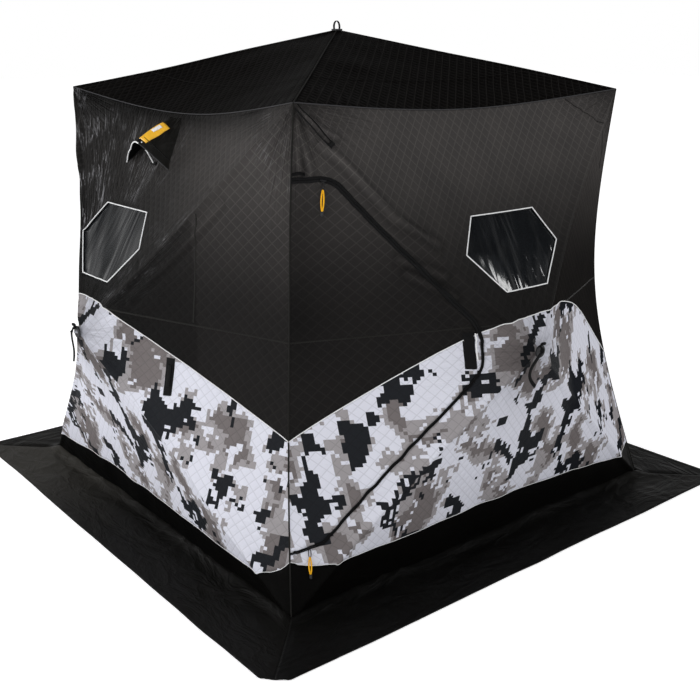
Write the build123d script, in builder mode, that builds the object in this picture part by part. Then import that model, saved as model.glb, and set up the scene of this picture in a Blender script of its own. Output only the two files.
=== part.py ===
from build123d import *
import os

os.makedirs("parts", exist_ok=True)

# Hub-frame ice fishing hut.  Millimetres, +Z up, origin on the ground at the
# middle of the hut.  The door wall faces -Y.
#
# ---- Shell --------------------------------------------------------------
PEAK_HEIGHT = 2045.0        # roof hub above the ground
EAVE_HEIGHT = 1800.0        # top corners above the ground
EAVE_HALF = 860.0           # half the width between top corners
BASE_HALF = 1025.0          # half the width of the base
HUB_REACH = 1280.0          # wall hubs from the middle of the hut
HUB_HEIGHT = 890.0          # wall hubs above the ground
HUB_SHIFT = -50.0           # wall hubs along the wall from its middle
FABRIC = 6.0                # quilted wall and roof fabric, nominal
# ---- Seams pull in between the pole tips --------------------------------
CORNER_BOW = 140.0          # corner seams, at mid height
EAVE_BOW = 88.0             # seams between roof and walls
POLE_BOW = 25.0             # pole lines of the walls
# ---- Base ---------------------------------------------------------------
BAND_TOP = 185.0            # top of the plain band above the ground
SKIRT_WIDTH = 280.0         # snow skirt beyond the base
SKIRT_FABRIC = 4.0
SKIRT_TUCK = 12.0           # skirt hem under the band
SKIRT_CHAMFER = 75.0
# ---- Poles and hubs -----------------------------------------------------
POLE_RADIUS = 5.5
POLE_TIP_GAP = 14.0         # pole end short of the corner
POLE_HUB_GAP = 6.5          # pole end clear of the hub's rim, along the pole
ROOF_POLE_HUB_GAP = 1.6     # the same at the roof hub
SEAT = 0.3                  # clearance of a seated piece
CUT_SPARE = 60.0            # cutting profiles beyond a bowed panel
HUB_RADIUS = 45.0
HUB_NECK_RADIUS = 15.0
HUB_NECK_DEPTH = 19.0       # neck below the fabric's tip
HUB_RIM_DEPTH = 36.0        # rim of the hub below the fabric's tip
HUB_BACK_DEPTH = 68.0
SPINDLE_RADIUS = 8.5
CAP_RADIUS = 24.0
CAP_THICKNESS = 6.0
CAP_SEAT_DEPTH = 1.5        # cap's underside below the fabric's tip
# ---- Windows ------------------------------------------------------------
WINDOW_HEIGHT_MID = 1250.0  # height of a window's middle above the ground
WINDOW_TOP_HALF = 170.0
WINDOW_MID_HALF = 248.0
WINDOW_LOW_HALF = 110.0
WINDOW_TOP_LEAN = 12.0      # top edge off the window's middle
WINDOW_RISE = 155.0         # middle up to the top edge, along the fabric
WINDOW_DROP = 152.0
WINDOW_WAIST = 11.0         # side corners above the middle
LEFT_WINDOW_SHIFT = -80.0   # the left wall's window, from the wall's middle
LEFT_WINDOW_DROP = 8.0      # and below the others, along the fabric
VINYL = 1.5
VINYL_LAP = 14.0            # pane behind the edge of the opening
# ---- Door flap: a zipped D beside the near corner ----------------------
DOOR_HEAD = 1545.0          # top edge above the ground
DOOR_SILL = 265.0           # bottom edge above the ground
# Insets are level, from the straight line between the wall's two corners.
DOOR_REACH = 681.0          # zipper's farthest point
DOOR_HEAD_INSET = 93.0      # where the top edge turns down
DOOR_SIDE_TOP = 990.0
DOOR_SIDE_LOW = 880.0
DOOR_SILL_INSET = 138.0     # where the sill turns up
DOOR_SILL_TURN = 290.0
DOOR_CORNER_RADIUS = 55.0
DOOR_GAP = 5.0              # zipper gap all round
TAPE_WIDTH = 16.0           # zipper tape
TAPE = 2.0
PULL_WIDTH = 14.0
PULL_LENGTH = 92.0
PULL_THICKNESS = 4.0
SLIDER_LENGTH = 20.0
PULL_SEAT = 0.9             # slider above the fabric's skin, less the tape
SLIDER_HEIGHT = 8.0         # carries the pull clear of the frame's tape
UPPER_PULL_INSET = 83.0
LOWER_PULL_INSET = 86.0
# ---- Webbing ------------------------------------------------------------
WEBBING = 2.0
STRAP_WIDTH = 22.0
STRAP_LENGTH = 125.0
STRAP_STANDOFF = 26.0
LOOP_LEG = 18.0
LOOP_HALF = 15.0
TAB_WIDTH = 90.0
TAB_HEIGHT = 40.0
TAB_GAP = 1.0               # above the zipper tape
PATCH_WIDTH = 46.0
PATCH_HEIGHT = 150.0
PATCH_INSET = 581.0         # left wall patch, from the corner line
PATCH_MID_HEIGHT = 775.0
DOOR_PATCH_INSET = 54.0     # from the zipper's farthest point
DOOR_PATCH_WIDTH = 50.0
DOOR_PATCH_HEIGHT = 112.0
# ---- Vent hood on the left wall -----------------------------------------
VENT_BASE_HEIGHT = 1545.0   # foot of the hood above the ground
VENT_TOP_HEIGHT = 1750.0
VENT_SHIFT = -63.0          # along the wall from its middle
VENT_LEAN = 55.0            # back of the ridge, along the wall from the foot's middle
VENT_HALF = 170.0           # half the width at the foot
VENT_PEAK_REACH = 120.0     # peak in front of the fabric
VENT_PEAK_RISE = 75.0       # peak above the foot, along the fabric
VENT_SKIN = 3.0             # hood's sides
VENT_FRONT_SET = 4.5        # hollow set back, which opens the front
VENT_HOLE_RADIUS = 55.0

WALLS = {"front": 0, "right": 90, "back": 180, "left": 270}
CENTRE = Vector(0, 0, HUB_HEIGHT)

PEAK = Vector(0, 0, PEAK_HEIGHT)
TOP_LEFT = Vector(-EAVE_HALF, -EAVE_HALF, EAVE_HEIGHT)
TOP_RIGHT = Vector(EAVE_HALF, -EAVE_HALF, EAVE_HEIGHT)
BASE_LEFT = Vector(-BASE_HALF, -BASE_HALF, 0)
BASE_RIGHT = Vector(BASE_HALF, -BASE_HALF, 0)
HUB = Vector(HUB_SHIFT, -HUB_REACH, HUB_HEIGHT)


def distance_to_plane(point, a, b, c):
    """Distance from a point to the plane through a, b and c."""
    normal = (b - a).cross(c - a).normalized()
    return abs((point - a).dot(normal))


# Every seam lies in a plane through CENTRE, so a copy of the skin shrunk about
# CENTRE is a parallel layer, and the panels meet on flat mitred edges.
NEAREST_PANEL = min(
    distance_to_plane(CENTRE, TOP_LEFT, TOP_RIGHT, HUB),
    distance_to_plane(CENTRE, BASE_LEFT, BASE_RIGHT, HUB),
    distance_to_plane(CENTRE, TOP_LEFT, BASE_LEFT, HUB),
    distance_to_plane(CENTRE, TOP_LEFT, TOP_RIGHT, PEAK),
)


def layer(depth):
    """Scale about CENTRE of the layer that lies depth below the outer skin."""
    return 1 - depth / (NEAREST_PANEL - CORNER_BOW)


def shrunk(point, depth):
    """A point of the outer skin, carried to the layer at depth."""
    return CENTRE + (point - CENTRE) * layer(depth)


def seam(start, end, bow, depth=0.0):
    """Seam from start to end, bowed toward the middle of the hut."""
    first = shrunk(start, depth)
    last = shrunk(end, depth)
    if bow == 0:
        return Edge.make_line(first, last)
    middle = (start + end) * 0.5
    inward = (CENTRE - middle).normalized()
    return Edge.make_three_point_arc(first, shrunk(middle + inward * bow, depth), last)


def skin(corners, bows, outer=0.0, inner=FABRIC):
    """Solid of a three-sided panel between two layers of the skin."""
    sides = [(corners[i], corners[(i + 1) % 3], bows[i]) for i in range(3)]
    outside = [seam(a, b, bow, outer) for a, b, bow in sides]
    inside = [seam(a, b, bow, inner) for a, b, bow in sides]
    faces = [Face.make_surface(Wire(outside)), Face.make_surface(Wire(inside))]
    for i in range(3):
        start_rib = Edge.make_line(outside[i] @ 0, inside[i] @ 0)
        end_rib = Edge.make_line(outside[i] @ 1, inside[i] @ 1)
        faces.append(Face(Wire([outside[i], end_rib, inside[i], start_rib])))
    return Solid(Shell(faces))


TOP_PANEL = ((TOP_LEFT, TOP_RIGHT, HUB), (EAVE_BOW, POLE_BOW, POLE_BOW))
BOTTOM_PANEL = ((BASE_LEFT, BASE_RIGHT, HUB), (0, POLE_BOW, POLE_BOW))
LEFT_PANEL = ((TOP_LEFT, BASE_LEFT, HUB), (CORNER_BOW, POLE_BOW, POLE_BOW))
RIGHT_PANEL = ((TOP_RIGHT, BASE_RIGHT, HUB), (CORNER_BOW, POLE_BOW, POLE_BOW))
ROOF_PANEL = ((TOP_LEFT, TOP_RIGHT, PEAK), (EAVE_BOW, 0, 0))


def panel_plane(corners, origin):
    """Plane of a panel: X level along the wall, Y up the fabric, Z outward."""
    a, b, c = corners
    normal = (b - a).cross(c - a).normalized()
    if normal.dot(a - CENTRE) < 0:
        normal = normal * -1
    level = Vector(0, 0, 1).cross(normal).normalized()
    return Plane(origin=origin, x_dir=level, z_dir=normal)


def on_panel(corners, along, height):
    """Point of a front panel's plane, by its x and its height."""
    a, b, c = corners
    normal = (b - a).cross(c - a)
    y = a.Y - (normal.X * (along - a.X) + normal.Z * (height - a.Z)) / normal.Y
    return Vector(along, y, height)


def corner_line(height):
    """Distance from a wall's middle to the line between its corners."""
    return BASE_HALF + (EAVE_HALF - BASE_HALF) * height / EAVE_HEIGHT


def to_sketch(plane, corners, points):
    """Points given by x and height, as coordinates of a panel's plane."""
    flat = [plane.to_local_coords(on_panel(corners, x, z)) for x, z in points]
    return [(p.X, p.Y) for p in flat]


def on_skin(spec, along, height, lift=0.0):
    """Plane on the outer skin of a front panel, X level and Z outward."""
    flat = panel_plane(spec[0], on_panel(spec[0], along, height))
    hits = skin(*spec).find_intersection_points(Axis(flat.origin, flat.z_dir))
    surface, normal = max(hits, key=lambda hit: (hit[0] - flat.origin).dot(flat.z_dir))
    if normal.dot(flat.z_dir) < 0:
        normal = normal * -1
    level = Vector(0, 0, 1).cross(normal).normalized()
    return Plane(origin=surface + normal * lift, x_dir=level, z_dir=normal)


def write(builder, name):
    """Label a finished piece and write it to its own STEP file."""
    builder.part.label = name
    export_step(builder.part, f"parts/{name}.step")


CUT_DEPTH = CORNER_BOW + CUT_SPARE
HUB_PLANE = Plane(origin=HUB, x_dir=(1, 0, 0), z_dir=(0, -1, 0))
ROOF_HUB_PLANE = Plane(origin=PEAK, x_dir=(1, 0, 0), z_dir=(0, 0, 1))
BAND_PLANE = Plane.XY.offset(BAND_TOP)
SKIRT_TOP_PLANE = Plane.XY.offset(SKIRT_FABRIC)
SKIRT_HALF = BASE_HALF + SKIRT_WIDTH
SKIRT_INNER = BASE_HALF - SKIRT_TUCK
TOP_PLANE = panel_plane(TOP_PANEL[0], on_panel(TOP_PANEL[0], 0, WINDOW_HEIGHT_MID))
LEFT_PLANE = panel_plane(LEFT_PANEL[0], on_panel(LEFT_PANEL[0], -EAVE_HALF, HUB_HEIGHT))

WINDOW = [
    (WINDOW_TOP_LEAN - WINDOW_TOP_HALF, WINDOW_RISE),
    (WINDOW_TOP_LEAN + WINDOW_TOP_HALF, WINDOW_RISE),
    (WINDOW_MID_HALF, WINDOW_WAIST),
    (WINDOW_LOW_HALF, -WINDOW_DROP),
    (-WINDOW_LOW_HALF, -WINDOW_DROP),
    (-WINDOW_MID_HALF, WINDOW_WAIST),
]


def window_outline(shift=0.0, drop=0.0, margin=0.0):
    """Face of a window on the top panel's plane, grown by a margin."""
    with BuildSketch(TOP_PLANE) as outline:
        Polygon(*[(x + shift, y - drop) for x, y in WINDOW], align=None)
        if margin:
            offset(amount=margin, kind=Kind.INTERSECTION)
    return outline.sketch


# ---- Wall panels of the plain walls; the door wall shares all but the left ----
with BuildPart() as top_whole:
    add(skin(*TOP_PANEL))
    with BuildSketch(HUB_PLANE):
        Circle(SPINDLE_RADIUS + SEAT)
    extrude(amount=CUT_DEPTH, both=True, mode=Mode.SUBTRACT)

with BuildPart() as top_panel:
    add(top_whole.part)
    extrude(window_outline(), amount=CUT_DEPTH, both=True, mode=Mode.SUBTRACT)

with BuildPart() as bottom_whole:
    add(skin(*BOTTOM_PANEL))
    with BuildSketch(HUB_PLANE):
        Circle(SPINDLE_RADIUS + SEAT)
    extrude(amount=CUT_DEPTH, both=True, mode=Mode.SUBTRACT)

with BuildPart() as left_whole:
    add(skin(*LEFT_PANEL))
    with BuildSketch(HUB_PLANE):
        Circle(SPINDLE_RADIUS + SEAT)
    extrude(amount=CUT_DEPTH, both=True, mode=Mode.SUBTRACT)

with BuildPart() as right_whole:
    add(skin(*RIGHT_PANEL))
    with BuildSketch(HUB_PLANE):
        Circle(SPINDLE_RADIUS + SEAT)
    extrude(amount=CUT_DEPTH, both=True, mode=Mode.SUBTRACT)

with BuildPart() as bottom_panel:
    add(bottom_whole.part)
    split(bisect_by=BAND_PLANE, keep=Keep.TOP)

with BuildPart() as left_panel:
    add(left_whole.part)
    split(bisect_by=BAND_PLANE, keep=Keep.TOP)

with BuildPart() as right_panel:
    add(right_whole.part)
    split(bisect_by=BAND_PLANE, keep=Keep.TOP)

with BuildPart() as base_band:
    add(bottom_whole.part)
    add(left_whole.part)
    add(right_whole.part)
    split(bisect_by=BAND_PLANE, keep=Keep.BOTTOM)
    split(bisect_by=SKIRT_TOP_PLANE, keep=Keep.TOP)

with BuildPart() as roof_panel:
    add(skin(*ROOF_PANEL))
    with BuildSketch(ROOF_HUB_PLANE):
        Circle(SPINDLE_RADIUS + SEAT)
    extrude(amount=CUT_DEPTH, both=True, mode=Mode.SUBTRACT)

# ---- Snow skirt: flat on the ground, mitred where two sides meet ----
with BuildPart() as snow_skirt:
    with BuildSketch():
        with BuildLine():
            Polyline(
                (-SKIRT_INNER, -SKIRT_INNER),
                (-SKIRT_HALF + SKIRT_CHAMFER / 2, -SKIRT_HALF + SKIRT_CHAMFER / 2),
                (-SKIRT_HALF + SKIRT_CHAMFER, -SKIRT_HALF),
                (SKIRT_HALF - SKIRT_CHAMFER, -SKIRT_HALF),
                (SKIRT_HALF - SKIRT_CHAMFER / 2, -SKIRT_HALF + SKIRT_CHAMFER / 2),
                (SKIRT_INNER, -SKIRT_INNER),
                close=True,
            )
        make_face()
    extrude(amount=SKIRT_FABRIC)

# ---- Vinyl windows, sewn behind the openings ----
with BuildPart() as window_pane:
    add(skin(*TOP_PANEL, outer=FABRIC + SEAT, inner=FABRIC + SEAT + VINYL))
    extrude(window_outline(margin=VINYL_LAP), amount=CUT_DEPTH, both=True, mode=Mode.INTERSECT)

with BuildPart() as left_window_pane:
    add(skin(*TOP_PANEL, outer=FABRIC + SEAT, inner=FABRIC + SEAT + VINYL))
    outline = window_outline(LEFT_WINDOW_SHIFT, LEFT_WINDOW_DROP, VINYL_LAP)
    extrude(outline, amount=CUT_DEPTH, both=True, mode=Mode.INTERSECT)

# ---- Door flap, zipper and frame in the left panel of the front wall ----
DOOR_WAIST = (DOOR_SIDE_TOP + DOOR_SIDE_LOW) / 2
DOOR_SIDE = corner_line(DOOR_WAIST) - DOOR_REACH
DOOR_HEAD_END = corner_line(DOOR_HEAD) - DOOR_HEAD_INSET
DOOR_SILL_END = corner_line(DOOR_SILL_TURN) - DOOR_SILL_INSET
DOOR_CORNERS = [
    (-BASE_HALF - CORNER_BOW, DOOR_HEAD),
    (-DOOR_HEAD_END, DOOR_HEAD),
    (-DOOR_SIDE, DOOR_SIDE_TOP),
    (-DOOR_SIDE, DOOR_SIDE_LOW),
    (-DOOR_SILL_END, DOOR_SILL_TURN),
    (-DOOR_SILL_END - 2 * DOOR_CORNER_RADIUS, DOOR_SILL),
    (-BASE_HALF - CORNER_BOW, DOOR_SILL),
]
HINGE_NORMAL = Vector(1, -1, 0).normalized()
HINGE_CUT = Plane(origin=HINGE_NORMAL * SEAT, z_dir=HINGE_NORMAL)


def door_outline(margin):
    """Face of the door's D on the panel's plane, grown by a margin."""
    with BuildSketch(LEFT_PLANE) as outline:
        Polygon(*to_sketch(LEFT_PLANE, LEFT_PANEL[0], DOOR_CORNERS), align=None)
        turning = outline.vertices().sort_by(LEFT_PLANE.location.x_axis)[2:]
        fillet(turning, DOOR_CORNER_RADIUS)
        if margin:
            offset(amount=margin)
    return outline.sketch


with BuildPart() as door_flap:
    add(skin(*LEFT_PANEL))
    extrude(door_outline(0), amount=CUT_DEPTH, both=True, mode=Mode.INTERSECT)
    split(bisect_by=HINGE_CUT, keep=Keep.TOP)

with BuildPart() as door_frame:
    add(left_panel.part)
    extrude(door_outline(DOOR_GAP), amount=CUT_DEPTH, both=True, mode=Mode.SUBTRACT)

with BuildPart() as door_header:
    add(door_frame.part)
    split(bisect_by=Plane.XY.offset(DOOR_HEAD), keep=Keep.TOP)

with BuildPart() as door_side_upper:
    add(door_frame.part)
    split(bisect_by=Plane.XY.offset(DOOR_HEAD), keep=Keep.BOTTOM)
    split(bisect_by=Plane.XY.offset(DOOR_WAIST), keep=Keep.TOP)

with BuildPart() as door_side_lower:
    add(door_frame.part)
    split(bisect_by=Plane.XY.offset(DOOR_WAIST), keep=Keep.BOTTOM)
    split(bisect_by=Plane.XY.offset(DOOR_SILL), keep=Keep.TOP)

with BuildPart() as door_sill:
    add(door_frame.part)
    split(bisect_by=Plane.XY.offset(DOOR_SILL), keep=Keep.BOTTOM)

with BuildPart() as zipper_frame_tape:
    add(skin(*LEFT_PANEL, outer=-SEAT - TAPE, inner=-SEAT))
    extrude(door_outline(DOOR_GAP + TAPE_WIDTH), amount=CUT_DEPTH, both=True, mode=Mode.INTERSECT)
    extrude(door_outline(DOOR_GAP), amount=CUT_DEPTH, both=True, mode=Mode.SUBTRACT)
    split(bisect_by=HINGE_CUT, keep=Keep.TOP)

with BuildPart() as zipper_flap_tape:
    add(skin(*LEFT_PANEL, outer=-SEAT - TAPE, inner=-SEAT))
    extrude(door_outline(0), amount=CUT_DEPTH, both=True, mode=Mode.INTERSECT)
    extrude(door_outline(-TAPE_WIDTH), amount=CUT_DEPTH, both=True, mode=Mode.SUBTRACT)
    split(bisect_by=HINGE_CUT, keep=Keep.TOP)


# ---- Hub: neck, rim and back inside the fabric, spindle and cap outside ----
with BuildPart() as hub_unit:
    with BuildSketch(Plane.XZ):
        Polygon(
            (0, CAP_THICKNESS - CAP_SEAT_DEPTH),
            (CAP_RADIUS, CAP_THICKNESS - CAP_SEAT_DEPTH),
            (CAP_RADIUS, -CAP_SEAT_DEPTH),
            (SPINDLE_RADIUS, -CAP_SEAT_DEPTH),
            (SPINDLE_RADIUS, -HUB_NECK_DEPTH),
            (HUB_NECK_RADIUS, -HUB_NECK_DEPTH),
            (HUB_RADIUS, -HUB_RIM_DEPTH),
            (HUB_RADIUS, -HUB_BACK_DEPTH),
            (0, -HUB_BACK_DEPTH),
            align=None,
        )
    revolve(axis=Axis.Z)

with BuildPart() as roof_hub:
    add(hub_unit.part.moved(ROOF_HUB_PLANE.location))

with BuildPart() as wall_hubs:
    for angle in WALLS.values():
        add(hub_unit.part.moved(HUB_PLANE.location), rotation=(0, 0, angle))


# ---- Fibreglass poles, from each hub to the corners ----
def pole(corner, hub, bow, hub_gap):
    """Solid rod just inside the pole line between a corner and a hub."""
    line = seam(corner, hub, bow, FABRIC + 2 * SEAT + POLE_RADIUS)
    path = line.trim(POLE_TIP_GAP / line.length, 1 - hub_gap / line.length)
    with BuildPart() as rod:
        with BuildSketch(Plane(origin=path @ 0, z_dir=path % 0)):
            Circle(POLE_RADIUS)
        sweep(path=path)
    return rod.part


with BuildPart() as roof_poles:
    roof_pole = pole(TOP_LEFT, PEAK, 0, HUB_RADIUS + ROOF_POLE_HUB_GAP)
    for angle in WALLS.values():
        add(roof_pole, rotation=(0, 0, angle))

with BuildPart() as wall_poles:
    for corner in (TOP_LEFT, TOP_RIGHT, BASE_LEFT, BASE_RIGHT):
        add(pole(corner, HUB, POLE_BOW, HUB_RADIUS + POLE_HUB_GAP))

# ---- Pull straps on the wall hubs and the loop on the roof hub ----
CAP_FACE = CAP_THICKNESS - CAP_SEAT_DEPTH + SEAT
STRAP_START = Vector(HUB_SHIFT, -HUB_REACH - CAP_FACE, HUB_HEIGHT)

with BuildPart() as pull_strap:
    with BuildLine():
        strap_bend = TangentArc(
            STRAP_START,
            STRAP_START + Vector(0, -STRAP_STANDOFF, -STRAP_STANDOFF),
            tangent=(0, -1, 0),
        )
        Line(strap_bend @ 1, strap_bend @ 1 - Vector(0, 0, STRAP_LENGTH - STRAP_STANDOFF))
    with BuildSketch(Plane(origin=STRAP_START, x_dir=(1, 0, 0), z_dir=(0, -1, 0))):
        Rectangle(STRAP_WIDTH, WEBBING)
    sweep()

with BuildPart() as wall_pull_straps:
    for angle in WALLS.values():
        add(pull_strap.part, rotation=(0, 0, angle))

with BuildPart() as roof_pull_loop:
    with BuildLine():
        loop_foot = PEAK + Vector(-LOOP_HALF, 0, CAP_FACE)
        loop_leg = Line(loop_foot, loop_foot + Vector(0, 0, LOOP_LEG))
        loop_end = loop_leg @ 1 + Vector(2 * LOOP_HALF, 0, 0)
        loop_bend = TangentArc(loop_leg @ 1, loop_end, tangent=loop_leg % 1)
        Line(loop_bend @ 1, loop_bend @ 1 - Vector(0, 0, LOOP_LEG))
    with BuildSketch(Plane(origin=loop_foot, x_dir=(0, 1, 0), z_dir=(0, 0, 1))):
        Rectangle(STRAP_WIDTH / 2, WEBBING)
    sweep()


# ---- Webbing patches sewn flat on the fabric ----
def patch(spec, along, height, width, tall):
    """Solid of a webbing patch that follows the outside of a panel."""
    place = panel_plane(spec[0], on_panel(spec[0], along, height))
    with BuildPart() as piece:
        add(skin(*spec, outer=-SEAT - WEBBING, inner=-SEAT))
        with BuildSketch(place):
            Rectangle(width, tall)
        extrude(amount=CUT_DEPTH, both=True, mode=Mode.INTERSECT)
    return piece.part


with BuildPart() as door_tie_patch:
    tie_along = -DOOR_SIDE - DOOR_PATCH_INSET
    add(patch(LEFT_PANEL, tie_along, DOOR_WAIST, DOOR_PATCH_WIDTH, DOOR_PATCH_HEIGHT))

HEAD_TAB_HEIGHT = DOOR_HEAD + DOOR_GAP + TAPE_WIDTH + TAB_HEIGHT / 2 + TAB_GAP
with BuildPart() as webbing_patches:
    add(patch(LEFT_PANEL, -DOOR_HEAD_END - TAB_WIDTH / 2, HEAD_TAB_HEIGHT, TAB_WIDTH, TAB_HEIGHT))
    split(bisect_by=HINGE_CUT, keep=Keep.TOP)
    patch_along = corner_line(PATCH_MID_HEIGHT) - PATCH_INSET
    wall_patch = patch(RIGHT_PANEL, patch_along, PATCH_MID_HEIGHT, PATCH_WIDTH, PATCH_HEIGHT)
    add(wall_patch, rotation=(0, 0, WALLS["left"]))


# ---- Zipper sliders with their pulls, on the flap ----
def zip_pull(along, height):
    """Solid of a slider and its hanging pull, seated on the flap's tape."""
    seat = on_skin(LEFT_PANEL, along, height, PULL_SEAT + TAPE)
    with BuildPart() as pull:
        with BuildSketch(seat):
            Rectangle(PULL_WIDTH, SLIDER_LENGTH)
        extrude(amount=SLIDER_HEIGHT)
        with BuildSketch(seat.offset(SLIDER_HEIGHT)):
            Rectangle(PULL_WIDTH, PULL_LENGTH, align=(Align.CENTER, Align.MAX))
        extrude(amount=PULL_THICKNESS)
    return pull.part


with BuildPart() as zipper_pulls:
    upper_height = DOOR_HEAD - SLIDER_LENGTH
    add(zip_pull(UPPER_PULL_INSET - corner_line(upper_height), upper_height))
    lower_height = DOOR_SILL_TURN + SLIDER_LENGTH / 2
    add(zip_pull(LOWER_PULL_INSET - corner_line(lower_height), lower_height))

# ---- Vent hood: a peaked awning over the vent hole of the left wall ----
foot_left = on_skin(TOP_PANEL, VENT_SHIFT - VENT_HALF, VENT_BASE_HEIGHT, SEAT)
foot_right = on_skin(TOP_PANEL, VENT_SHIFT + VENT_HALF, VENT_BASE_HEIGHT, SEAT)
ridge_back = on_skin(TOP_PANEL, VENT_SHIFT + VENT_LEAN, VENT_TOP_HEIGHT, SEAT)
foot_middle = (foot_left.origin + foot_right.origin) * 0.5
ridge_front = foot_middle + foot_left.z_dir * VENT_PEAK_REACH + foot_left.y_dir * VENT_PEAK_RISE


def peaked(left, right, front, back):
    """Solid between the hood's two feet, its front peak and its back point."""
    sides = [
        (left, front, right),
        (left, back, front),
        (right, front, back),
        (left, right, back),
    ]
    return Solid(Shell([Face(Wire.make_polygon(side)) for side in sides]))


with BuildPart() as vent_hood:
    add(peaked(foot_left.origin, foot_right.origin, ridge_front, ridge_back.origin))
    inward = foot_left.z_dir * -VENT_FRONT_SET - foot_left.y_dir * VENT_SKIN
    hollow = vent_hood.part.moved(Location(inward))
    add(hollow, mode=Mode.SUBTRACT)

vent_hole_height = (VENT_BASE_HEIGHT + VENT_TOP_HEIGHT) / 2
vent_hole = on_skin(TOP_PANEL, VENT_SHIFT + VENT_LEAN / 2, vent_hole_height)
with BuildPart() as vented_top_panel:
    add(top_whole.part)
    outline = window_outline(LEFT_WINDOW_SHIFT, LEFT_WINDOW_DROP)
    extrude(outline, amount=CUT_DEPTH, both=True, mode=Mode.SUBTRACT)
    with BuildSketch(vent_hole):
        Circle(VENT_HOLE_RADIUS)
    extrude(amount=CUT_DEPTH, both=True, mode=Mode.SUBTRACT)

# ---- Pieces that every wall repeats, turned about the middle of the hut ----
REPEATED = {
    "roof_panel": roof_panel,
    "base_band": base_band,
    "snow_skirt": snow_skirt,
    "poles": wall_poles,
    "bottom_panel": bottom_panel,
    "right_panel": right_panel,
}
for wall, angle in WALLS.items():
    for piece, source in REPEATED.items():
        with BuildPart() as turned:
            add(source.part, rotation=(0, 0, angle))
        write(turned, f"{wall}_{piece}")
    with BuildPart() as turned_top:
        add(vented_top_panel.part if wall == "left" else top_panel.part, rotation=(0, 0, angle))
    write(turned_top, f"{wall}_top_panel")
    if wall != "front":
        with BuildPart() as turned_left:
            add(left_panel.part, rotation=(0, 0, angle))
        write(turned_left, f"{wall}_left_panel")

with BuildPart() as window_panes:
    for wall, angle in WALLS.items():
        add(left_window_pane.part if wall == "left" else window_pane.part, rotation=(0, 0, angle))

with BuildPart() as left_vent_hood:
    add(vent_hood.part, rotation=(0, 0, WALLS["left"]))

write(window_panes, "window_panes")
write(left_vent_hood, "left_vent_hood")
write(door_flap, "door_flap")
write(door_header, "door_header")
write(door_side_upper, "door_side_upper")
write(door_side_lower, "door_side_lower")
write(door_sill, "door_sill")
write(zipper_frame_tape, "zipper_frame_tape")
write(zipper_flap_tape, "zipper_flap_tape")
write(zipper_pulls, "zipper_pulls")
write(door_tie_patch, "door_tie_patch")
write(webbing_patches, "webbing_patches")
write(roof_hub, "roof_hub")
write(wall_hubs, "wall_hubs")
write(roof_poles, "roof_poles")
write(wall_pull_straps, "wall_pull_straps")
write(roof_pull_loop, "roof_pull_loop")
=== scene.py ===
import math

import bpy
import numpy as np
from bpy.props import FloatProperty, FloatVectorProperty, PointerProperty
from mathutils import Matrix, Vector
from mathutils.geometry import delaunay_2d_cdt


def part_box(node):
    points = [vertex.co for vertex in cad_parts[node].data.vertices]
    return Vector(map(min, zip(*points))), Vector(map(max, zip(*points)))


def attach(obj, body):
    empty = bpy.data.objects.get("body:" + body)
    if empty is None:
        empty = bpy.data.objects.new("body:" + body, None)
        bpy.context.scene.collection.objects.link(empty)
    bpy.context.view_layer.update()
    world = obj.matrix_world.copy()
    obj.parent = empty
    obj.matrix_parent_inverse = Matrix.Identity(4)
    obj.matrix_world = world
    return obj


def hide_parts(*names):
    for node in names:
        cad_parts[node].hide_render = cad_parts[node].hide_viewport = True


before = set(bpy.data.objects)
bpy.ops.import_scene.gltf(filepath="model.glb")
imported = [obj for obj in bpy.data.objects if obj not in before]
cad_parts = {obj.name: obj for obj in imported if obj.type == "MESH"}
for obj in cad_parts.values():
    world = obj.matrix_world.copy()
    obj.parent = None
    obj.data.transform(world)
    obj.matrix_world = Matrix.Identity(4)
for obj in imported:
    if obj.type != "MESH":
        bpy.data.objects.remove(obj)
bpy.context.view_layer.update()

bl_info = {
    "name": "Ice Fishing Hut",
    "version": (1, 0, 0),
    "blender": (4, 5, 0),
    "location": "View3D > Sidebar > Hut",
    "description": "Dresses the packed ice fishing hut with its fabric, windows, zipper and trim",
    "category": "Add Mesh",
}

# ---------------------------------------------------------------------------
# Sizes read from the frame, in metres
# ---------------------------------------------------------------------------
CAP_STAND = 0.0045                      # hub cap in front of the fabric's tip
CENTRE_Z = (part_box("wall_hubs")[0][2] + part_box("wall_hubs")[1][2]) / 2
HUB_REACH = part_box("wall_hubs")[1][1] - CAP_STAND
PEAK_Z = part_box("roof_hub")[1][2] - CAP_STAND
EAVE_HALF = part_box("front_roof_panel")[1][0]
EAVE_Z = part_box("front_top_panel")[1][2]
SKIRT_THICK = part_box("front_snow_skirt")[1][2]
BASE_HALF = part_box("front_base_band")[1][0] + 0.3 * SKIRT_THICK
SKIRT_HALF = -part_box("front_snow_skirt")[0][1]
HUB_SHIFT = -0.050                      # hubs beside the middle of their wall
CORNER_BOW = 0.140                      # seams pull in between the pole tips
EAVE_BOW = 0.088
POLE_BOW = 0.025
FABRIC = 0.005

CENTRE = np.array([0.0, 0.0, CENTRE_Z])
PEAK = np.array([0.0, 0.0, PEAK_Z])
TOP_L = np.array([-EAVE_HALF, -EAVE_HALF, EAVE_Z])
TOP_R = np.array([EAVE_HALF, -EAVE_HALF, EAVE_Z])
BASE_L = np.array([-BASE_HALF, -BASE_HALF, 0.0])
BASE_R = np.array([BASE_HALF, -BASE_HALF, 0.0])
HUB = np.array([HUB_SHIFT, -HUB_REACH, CENTRE_Z])
HUB_G = (HUB_SHIFT / HUB_REACH, 0.0)            # hub as seen from the centre
EAVE_G = (EAVE_Z - CENTRE_Z) / EAVE_HALF        # eave and base as seen from the centre
BASE_G = -CENTRE_Z / BASE_HALF
SEAM_G = 0.09                                   # level seam round the hut
SEAM_LINE = np.array([(-1, SEAM_G), (1, SEAM_G)], dtype=float)
WALLS = {"front": 0, "right": 90, "back": 180, "left": 270}
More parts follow.
